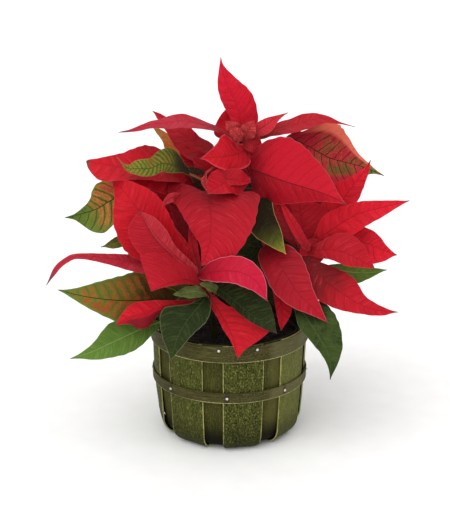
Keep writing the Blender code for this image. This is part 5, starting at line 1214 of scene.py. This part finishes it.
def bandTree(skin):
    # a strip bent all the way round, its ends meeting at the back
    tree, given, end = newShapeTree("band", bandRows["rimBand"])
    sizes = bandSizes
    box, x, y, z = stripMesh(tree, sizes["cuts"])
    seed = given["Number"] * 11.9
    angle = x * math.pi * sizes["around"]
    tall = given["High"] - given["Low"]
    upward = (z * math.pi).maths("SINE") * 0.5  # closer rows near both edges
    along = angle * sizes["grainRadius"]
    waver = tree.noise(tree.vector(along * 0.018, z.maths("SIGN"), seed), 1.0, 2.0) - 0.5
    warp = tree.noise(tree.vector(along * 0.03, upward, seed + 3), 1.0, 2.0) - 0.5
    height = given["Low"] + tall * (upward + 0.5) + waver * sizes["waver"] * upward.maths("ABSOLUTE")
    rounded = (upward.maths("ABSOLUTE") - sizes["roundFrom"]).maths("MAXIMUM", 0.0) * sizes["rounding"]
    depth = given["Thickness"] * (y + 0.5) + rounded * y * -2 + warp * sizes["warp"] + sizes["clear"]
    radial = given["Outer"] - depth - (0.5 - upward) * given["Taper"]
    edge = (upward + 0.5) * tall  # only the lower edge is worn pale
    grain = tree.vector(height, along, seed + y)
    return endStrip(tree, end, box, tree.around(radial, angle, height), grain, edge, skin)


def nailTree(skin):
    # round-headed nails evenly round a band
    tree, given, end = newShapeTree("nails", nailRows["hoopNails"])
    sizes, wide = nailSizes, nailSizes["headRadius"]
    number = tree.node("GeometryNodeInputIndex")[0]
    angle = (number * 360 / given["Count"] + given["First"]) * degree
    spot = tree.around(given["Face radius"] + sizes["gap"], angle, given["Height"])
    spots = {"Count": given["Count"], "Position": tree.scaled(spot, mm)}
    points = tree.node("GeometryNodePoints", {}, spots)[0]
    sphere = {"Segments": sizes["headSides"], "Rings": sizes["headRows"], "Radius": wide * mm}
    head = tree.node("GeometryNodeMeshUVSphere", {}, sphere)["Mesh"]
    x, y, z = tree.split(tree.node("GeometryNodeInputPosition")[0])
    head = tree.moved(head, tree.vector(x, y, z.maths("MAXIMUM", 0.0) * (sizes["headHeight"] / wide)))
    long = given["Shank"] * mm
    rod = {"Vertices": sizes["shankSides"], "Radius": sizes["shankRadius"] * mm, "Depth": long}
    shank = tree.node("GeometryNodeMeshCylinder", {}, rod)["Mesh"]
    move = {"Geometry": shank, "Translation": tree.vector(0.0, 0.0, long * -0.5 + sizes["overlap"] * mm)}
    nail = tree.together(head, tree.node("GeometryNodeTransform", {}, move)[0])
    row = {"Points": points, "Instance": nail, "Rotation": tree.vector(math.pi / 2, 0.0, angle)}
    end(tree.node("GeometryNodeInstanceOnPoints", {}, row)[0], skin)
    return tree


def nailSkin():
    def fill(tree):
        scuff = tree.noise(tree.objectPlace(), 2600.0, 3.0)
        dull = tree.noise(tree.objectPlace(), 700.0, 2.0)
        colour = tree.ramp(dull, [(0.3, (188, 188, 182)), (0.7, (220, 220, 216))])
        return {"Base Color": colour, "Roughness": scuff * 0.2 + 0.2, "Normal": tree.bump(scuff, 0.25, 0.05)}

    return newMaterial("nailSteel", {"Metallic": 0.85}, fill)


def buildBasket():
    trees = {kind: staveTree(woodSkin(kind + "Wood", woodLook[kind])) for kind in ("stave", "inner")}
    trees |= {kind: bandTree(woodSkin(kind + "Wood", woodLook[kind])) for kind in ("band", "lining")}
    for name, kind, node, slot in (
        ("stave", "stave", "stave", "chip_wood"), ("innerStave", "inner", "inner_stave", "chip_wood_dark"),
    ):  # fmt: skip
        first = staveRows[name]
        for i in range(8):
            middle = first["Middle"] + staveSizes["pitch"] * i
            values = first | {"Middle": middle, "Number": first["Number"] + i}
            placeInFrame(grow(f"{name}{i + 1}", trees[kind], values), slot, f"{node}_{i + 1}")
    for name, kind, node in (
        ("rimBand", "band", "rim_band"), ("waistHoop", "band", "hoop"), ("rimLining", "lining", "rim_lining"),
    ):  # fmt: skip
        placeInFrame(grow(name, trees[kind], bandRows[name]), "band_wood", node)
    nails = nailTree(nailSkin())
    for name, node, numbers in (
        ("hoopNails", "hoop", range(1, 9)), ("rimNailsLong", "rim", range(1, 9, 2)),
        ("rimNailsShort", "rim", range(2, 9, 2)),
    ):  # fmt: skip
        nodes = [f"{node}_nail_{i}" for i in numbers]
        placeInFrame(grow(name, nails, nailRows[name]), "nail_steel", *nodes)
    print("basket built")


# Soil, growing pot and board

soilSizes = {
    "radius": 71.5, "edgeHeight": 103.6, "rise": 6.0, "bump": 1.2, "baseRadius": 53.0, "base": 7.0,
    "rings": 70, "sides": 150, "crumbs": 2400, "crumbRadius": 1.2, "crumbLeast": (0.4, 0.4, 0.3),
    "crumbMost": (1.3, 1.1, 0.9), "surface": 2.4,
}  # fmt: skip
soilLook = {
    "ground": [(0.3, (9, 5, 4)), (0.5, (18, 11, 8)), (0.68, (36, 24, 17)), (0.8, (64, 47, 34))],
    "fleck": (132, 116, 92),
}


def soilSkin():
    def fill(tree):
        clods = tree.noise(tree.objectPlace(), 190.0, 5.0)
        fine = tree.noise(tree.objectPlace(), 900.0, 3.0)
        ground = tree.ramp(clods * 0.6 + fine * 0.4, soilLook["ground"])
        colour = tree.painted(ground, soilLook, (fine.between(0.68, 0.75) * 0.7, "fleck"))
        bump = tree.bump(clods + fine, 0.7, 1.2)
        return {"Base Color": colour, "Roughness": 0.92 - clods * 0.1, "Normal": bump}

    return newMaterial("peat", {"Specular IOR Level": 0.2}, fill)


def crumbTree(skin):
    # small clods scattered over a mesh of the soil, each stretched and turned its own way
    tree, given, end = newShapeTree("crumbs", {"Density": 1.0, "Size": 1.0, "Seed": 3})
    spread = {"Mesh": given["Geometry"], "Density": given["Density"], "Seed": given["Seed"]}
    spots = tree.node("GeometryNodeDistributePointsOnFaces", {}, spread)[0]
    clod = tree.node("GeometryNodeMeshIcoSphere", {}, {"Radius": 1.0 * mm, "Subdivisions": 1})["Mesh"]

    def random(low, high, seed):
        sockets = {"Min": low, "Max": high, "Seed": seed}
        return tree.node("FunctionNodeRandomValue", {"data_type": "FLOAT_VECTOR"}, sockets)[0]

    size = random(soilSizes["crumbLeast"], soilSizes["crumbMost"], 5)
    turn = random((0.0, 0.0, 0.0), (6.0, 6.0, 6.0), 9)
    row = {"Points": spots, "Instance": clod, "Rotation": turn, "Scale": tree.scaled(size, given["Size"])}
    clods = tree.node("GeometryNodeInstanceOnPoints", {}, row)[0]
    end(tree.together(clods, given["Geometry"]), skin)
    return tree


def soilTop(x, y):
    # the height of the heaped, lumpy soil
    share = math.hypot(x, y) / soilSizes["radius"]
    inside = 1 - share**4
    clods = 0.9 * math.sin(0.42 * x + 2.3 * math.sin(0.19 * y))
    clods *= math.cos(0.37 * y + 1.7 * math.sin(0.23 * x))
    gentle = soilSizes["bump"] * math.sin(0.21 * x + 1) * math.cos(0.27 * y)
    return soilSizes["edgeHeight"] + soilSizes["rise"] * (1 - share**2) + (gentle + clods) * inside


def wallFaces(rings, sides):
    # faces round an axis: a fan about point 0, then a wall from each ring of points to the next
    faces = []
    for i in range(sides):
        j = (i + 1) % sides
        faces.append((0, 1 + j, 1 + i))
        for a in range(1, 1 + (rings - 1) * sides, sides):
            faces.append((a + i, a + j, a + sides + j, a + sides + i))
    return faces


def buildSoil():
    sizes = soilSizes
    rings, sides = sizes["rings"], sizes["sides"]
    points = [(0.0, 0.0, soilTop(0, 0))]
    for step in range(1, rings + 1):
        points += [(x, y, soilTop(x, y)) for x, y, _ in ring(sizes["radius"] * step / rings, 0.0, sides)]
    points += ring(sizes["baseRadius"], sizes["base"], sides)
    last = len(points) - 1
    faces = [(face[0], *face[:0:-1]) for face in wallFaces(rings + 1, sides)]  # turned to face outwards
    faces.append(tuple(range(last, last - sides, -1)))
    mesh = newMesh("soilGround", points, faces, smoothAngle=60, marks={})
    area = math.pi * (sizes["radius"] * mm) ** 2 * sizes["surface"]
    values = {"Density": sizes["crumbs"] / area, "Size": sizes["crumbRadius"]}
    placeInFrame(grow("soilAndCrumbs", crumbTree(soilSkin()), values, mesh), "peat", "soil")
    print("soil built")


def plainSkins():
    # the board and the pot keep the frame's own meshes, with better materials
    def board(tree):
        x, y, z = tree.split(tree.objectPlace())
        streak = tree.noise(tree.vector(x * 1300, y * 40, z * 40), 1.0, 4.0)
        colour = tree.ramp(streak, [(0.3, (58, 52, 26)), (0.7, (104, 96, 56))])
        return {"Base Color": colour, "Roughness": streak * 0.2 + 0.6, "Normal": tree.bump(streak, 0.4, 0.3)}

    def plastic(tree):
        scuff = tree.noise(tree.objectPlace(), 260.0, 4.0)
        colour = tree.ramp(scuff, [(0.3, (22, 22, 22)), (0.8, (38, 37, 36))])
        return {"Base Color": colour, "Roughness": scuff * 0.25 + 0.4, "Normal": tree.bump(scuff, 0.2, 0.2)}

    for node, name, fill in (("base_board", "boardWood", board), ("growing_pot", "potPlastic", plastic)):
        skin = newMaterial(name, {}, fill)
        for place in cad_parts[node].material_slots:
            place.material = skin


# Cyathia, the true flowers in the middle of a head of bracts

budSizes = {
    "first": 3.4, "less": 0.12, "ring": 1.5, "ringStep": 0.28, "goldenTurn": 137.5, "spread": 0.62,
    "seat": 0.3, "baseLong": 1.6, "baseRadius": 2.6, "out": 0.8, "lean": 0.16, "glandOut": 0.55,
    "glandUp": 0.7, "glandTilt": 0.8, "glandRadius": 0.42, "glandLong": 0.5,
}  # fmt: skip
budLook = {
    "ground": [(0.0, (96, 112, 40)), (0.5, (150, 158, 58)), (0.8, (206, 196, 88)), (1.0, (226, 210, 110))],
    "mouth": (186, 60, 40),
}
budProfiles = {  # (radius, height) from the foot to the top, and how many sides
    "base": ([(0, 0), (0.97, 0), (1.0, 0.1), (0.92, 0.6), (0.85, 0.95), (0.7, 1.0), (0, 1.02)], 20),
    "bud": ([
        (0, 0), (0.34, 0.02), (0.52, 0.3), (0.62, 0.72), (0.6, 0.95), (0.5, 1.05), (0.42, 1.0), (0.3, 1.04),
        (0.24, 1.3), (0.2, 1.45), (0, 1.5),
    ], 16),
    "gland": ([(0, 0), (0.3, 0.05), (0.46, 0.28), (0.44, 0.5), (0.24, 0.52), (0.1, 0.4), (0, 0.36)], 12),
}  # fmt: skip


def cyathiaSkin():
    def fill(tree):
        long = tree.split(tree.attribute("bud"))[0]
        fine = tree.noise(tree.objectPlace(), 1500.0, 3.0)
        ground = tree.ramp(long + (fine - 0.5) * 0.2, budLook["ground"])
        colour = tree.painted(ground, budLook, (long.between(0.97, 1.05) * 0.8, "mouth"))
        return {"Base Color": colour, "Roughness": fine * 0.2 + 0.35, "Normal": tree.bump(fine, 0.3, 0.15)}

    constants = {"Coat Weight": 0.2, "Subsurface Weight": 0.1, "Subsurface Scale": 0.002}
    return newMaterial("cyathia", constants, fill)


def lathe(profile, sides):
    # a closed solid of revolution about Z through (radius, height) points, the first and last on the axis
    points = [(0.0, 0.0, profile[0][1])]
    for radius, height in profile[1:-1]:
        points += ring(radius, height, sides)
    last = len(points)
    rim = range(last - sides, last)
    faces = wallFaces(len(profile) - 2, sides) + list(zip(rim, [*rim[1:], rim[0]], [last] * sides))
    return [*points, (0.0, 0.0, profile[-1][1])], faces


def buildCyathia(name, nodeEnd, plant, red, skin):
    sizes = budSizes
    out = (red[-1] - red[-2]).normalized()
    aside = out.orthogonal().normalized()
    seat = red[-1] + out * sizes["seat"]
    shapes = {kind: lathe(*profile) for kind, profile in budProfiles.items()}
    budHeight = budProfiles["bud"][0][-1][1]
    points, faces, marks = [], [], []

    def place(kind, middle, towards, wide, long, span, start, number):
        # span and start say which part of the look's colours runs up the shape
        shape, shapeFaces = shapes[kind]
        side = towards.orthogonal().normalized()
        other = towards.cross(side)
        faces.extend([len(points) + i for i in face] for face in shapeFaces)
        points.extend([middle + wide * (x * side + y * other) + long * z * towards for x, y, z in shape])
        marks.extend((z / budHeight * span + start, 0.0, number) for x, y, z in shape)

    place("base", seat, out, sizes["baseRadius"], sizes["baseLong"], 0.2, 0.0, 0.0)
    for i in range(plant["beads"]):
        turn = math.radians(sizes["goldenTurn"] * i)
        reach = 0.0 if i == 0 else sizes["ring"] + sizes["ringStep"] * i
        spread = (math.cos(turn) * aside + math.sin(turn) * out.cross(aside)) * reach
        lean = (out + sizes["lean"] * spread).normalized()
        size = sizes["first"] - sizes["less"] * i
        middle = seat + out * sizes["out"] + spread * sizes["spread"]
        place("bud", middle, lean, size, size, 1.0, 0.0, float(i))
        outer = (spread.normalized() if reach else aside) * sizes["glandOut"] * size
        cup = middle + lean * sizes["glandUp"] * size + outer * sizes["glandTilt"]
        opening = (lean + sizes["glandTilt"] * outer / size).normalized()
        wide, long = sizes["glandRadius"] * size, sizes["glandLong"] * size
        place("gland", cup, opening, wide, long, 0.6, 0.7, float(i))
    mesh = newMesh(name + "Cyathia", points, faces, smoothAngle=55, marks={"bud": marks})
    mesh.materials.append(skin)
    placeInFrame(newObject(mesh.name, mesh), "cyathium", f"cyathia_{nodeEnd}")


# Camera, floor and lights

view = {"place": (-4.8, -1129.6, 528.0), "down": 16.64, "lens": 80.06}
studio = {
    "world": 0.5, "floor": [(0.3, (249, 249, 248)), (0.7, (253, 253, 252))], "floorHalf": 50.0,
    "lights": [  # a name, where the light comes from, its power and how wide it looks in degrees
        ("key", (-0.55, -0.75, 1.0), 1.6, 64.0),
        ("fill", (0.8, -0.7, 0.5), 0.5, 80.0),
        ("top", (0.1, 0.3, 1.0), 0.9, 90.0),
    ],
}  # fmt: skip


def buildStudio():
    scene = bpy.context.scene
    camera = newObject("camera", bpy.data.cameras.new("camera"))
    camera.data.lens = view["lens"]
    camera.location = [c * mm for c in view["place"]]
    camera.rotation_euler = (math.radians(90 - view["down"]), 0, 0)
    scene.camera = camera
    for name, side, power, wide in studio["lights"]:
        light = newObject(name, bpy.data.lights.new(name, "SUN"))
        light.data.energy, light.data.angle = power, math.radians(wide)
        light.location = side
        light.rotation_euler = Vector(side).to_track_quat("Z", "Y").to_euler()
    scene.world = bpy.data.worlds.new("studio")
    scene.world.use_nodes = True
    background = scene.world.node_tree.nodes["Background"].inputs
    background["Color"].default_value = (1.0, 1.0, 1.0, 1.0)
    background["Strength"].default_value = studio["world"]
    scene.view_settings.view_transform = "Standard"
    plane = bpy.data.meshes.new("floor")
    far = studio["floorHalf"]
    plane.from_pydata([(-far, -far, 0), (far, -far, 0), (far, far, 0), (-far, far, 0)], [], [(0, 1, 2, 3)])

    def fill(tree):
        speck = tree.noise(tree.objectPlace(), 40.0, 3.0)
        return {"Base Color": tree.ramp(speck, studio["floor"]), "Roughness": speck * 0.1 + 0.7}

    plane.materials.append(newMaterial("floorPaper", {"Specular IOR Level": 0.2}, fill))
    newObject("floor", plane)


def main():
    skins = {name: bladeSkin(name, look) for name, look in looks.items()}
    skins |= {name: stemSkin(name, look) for name, look in stemLooks.items()}
    buildPlants(skins, cyathiaSkin())
    buildSoil()
    buildBasket()
    plainSkins()
    buildStudio()


main()
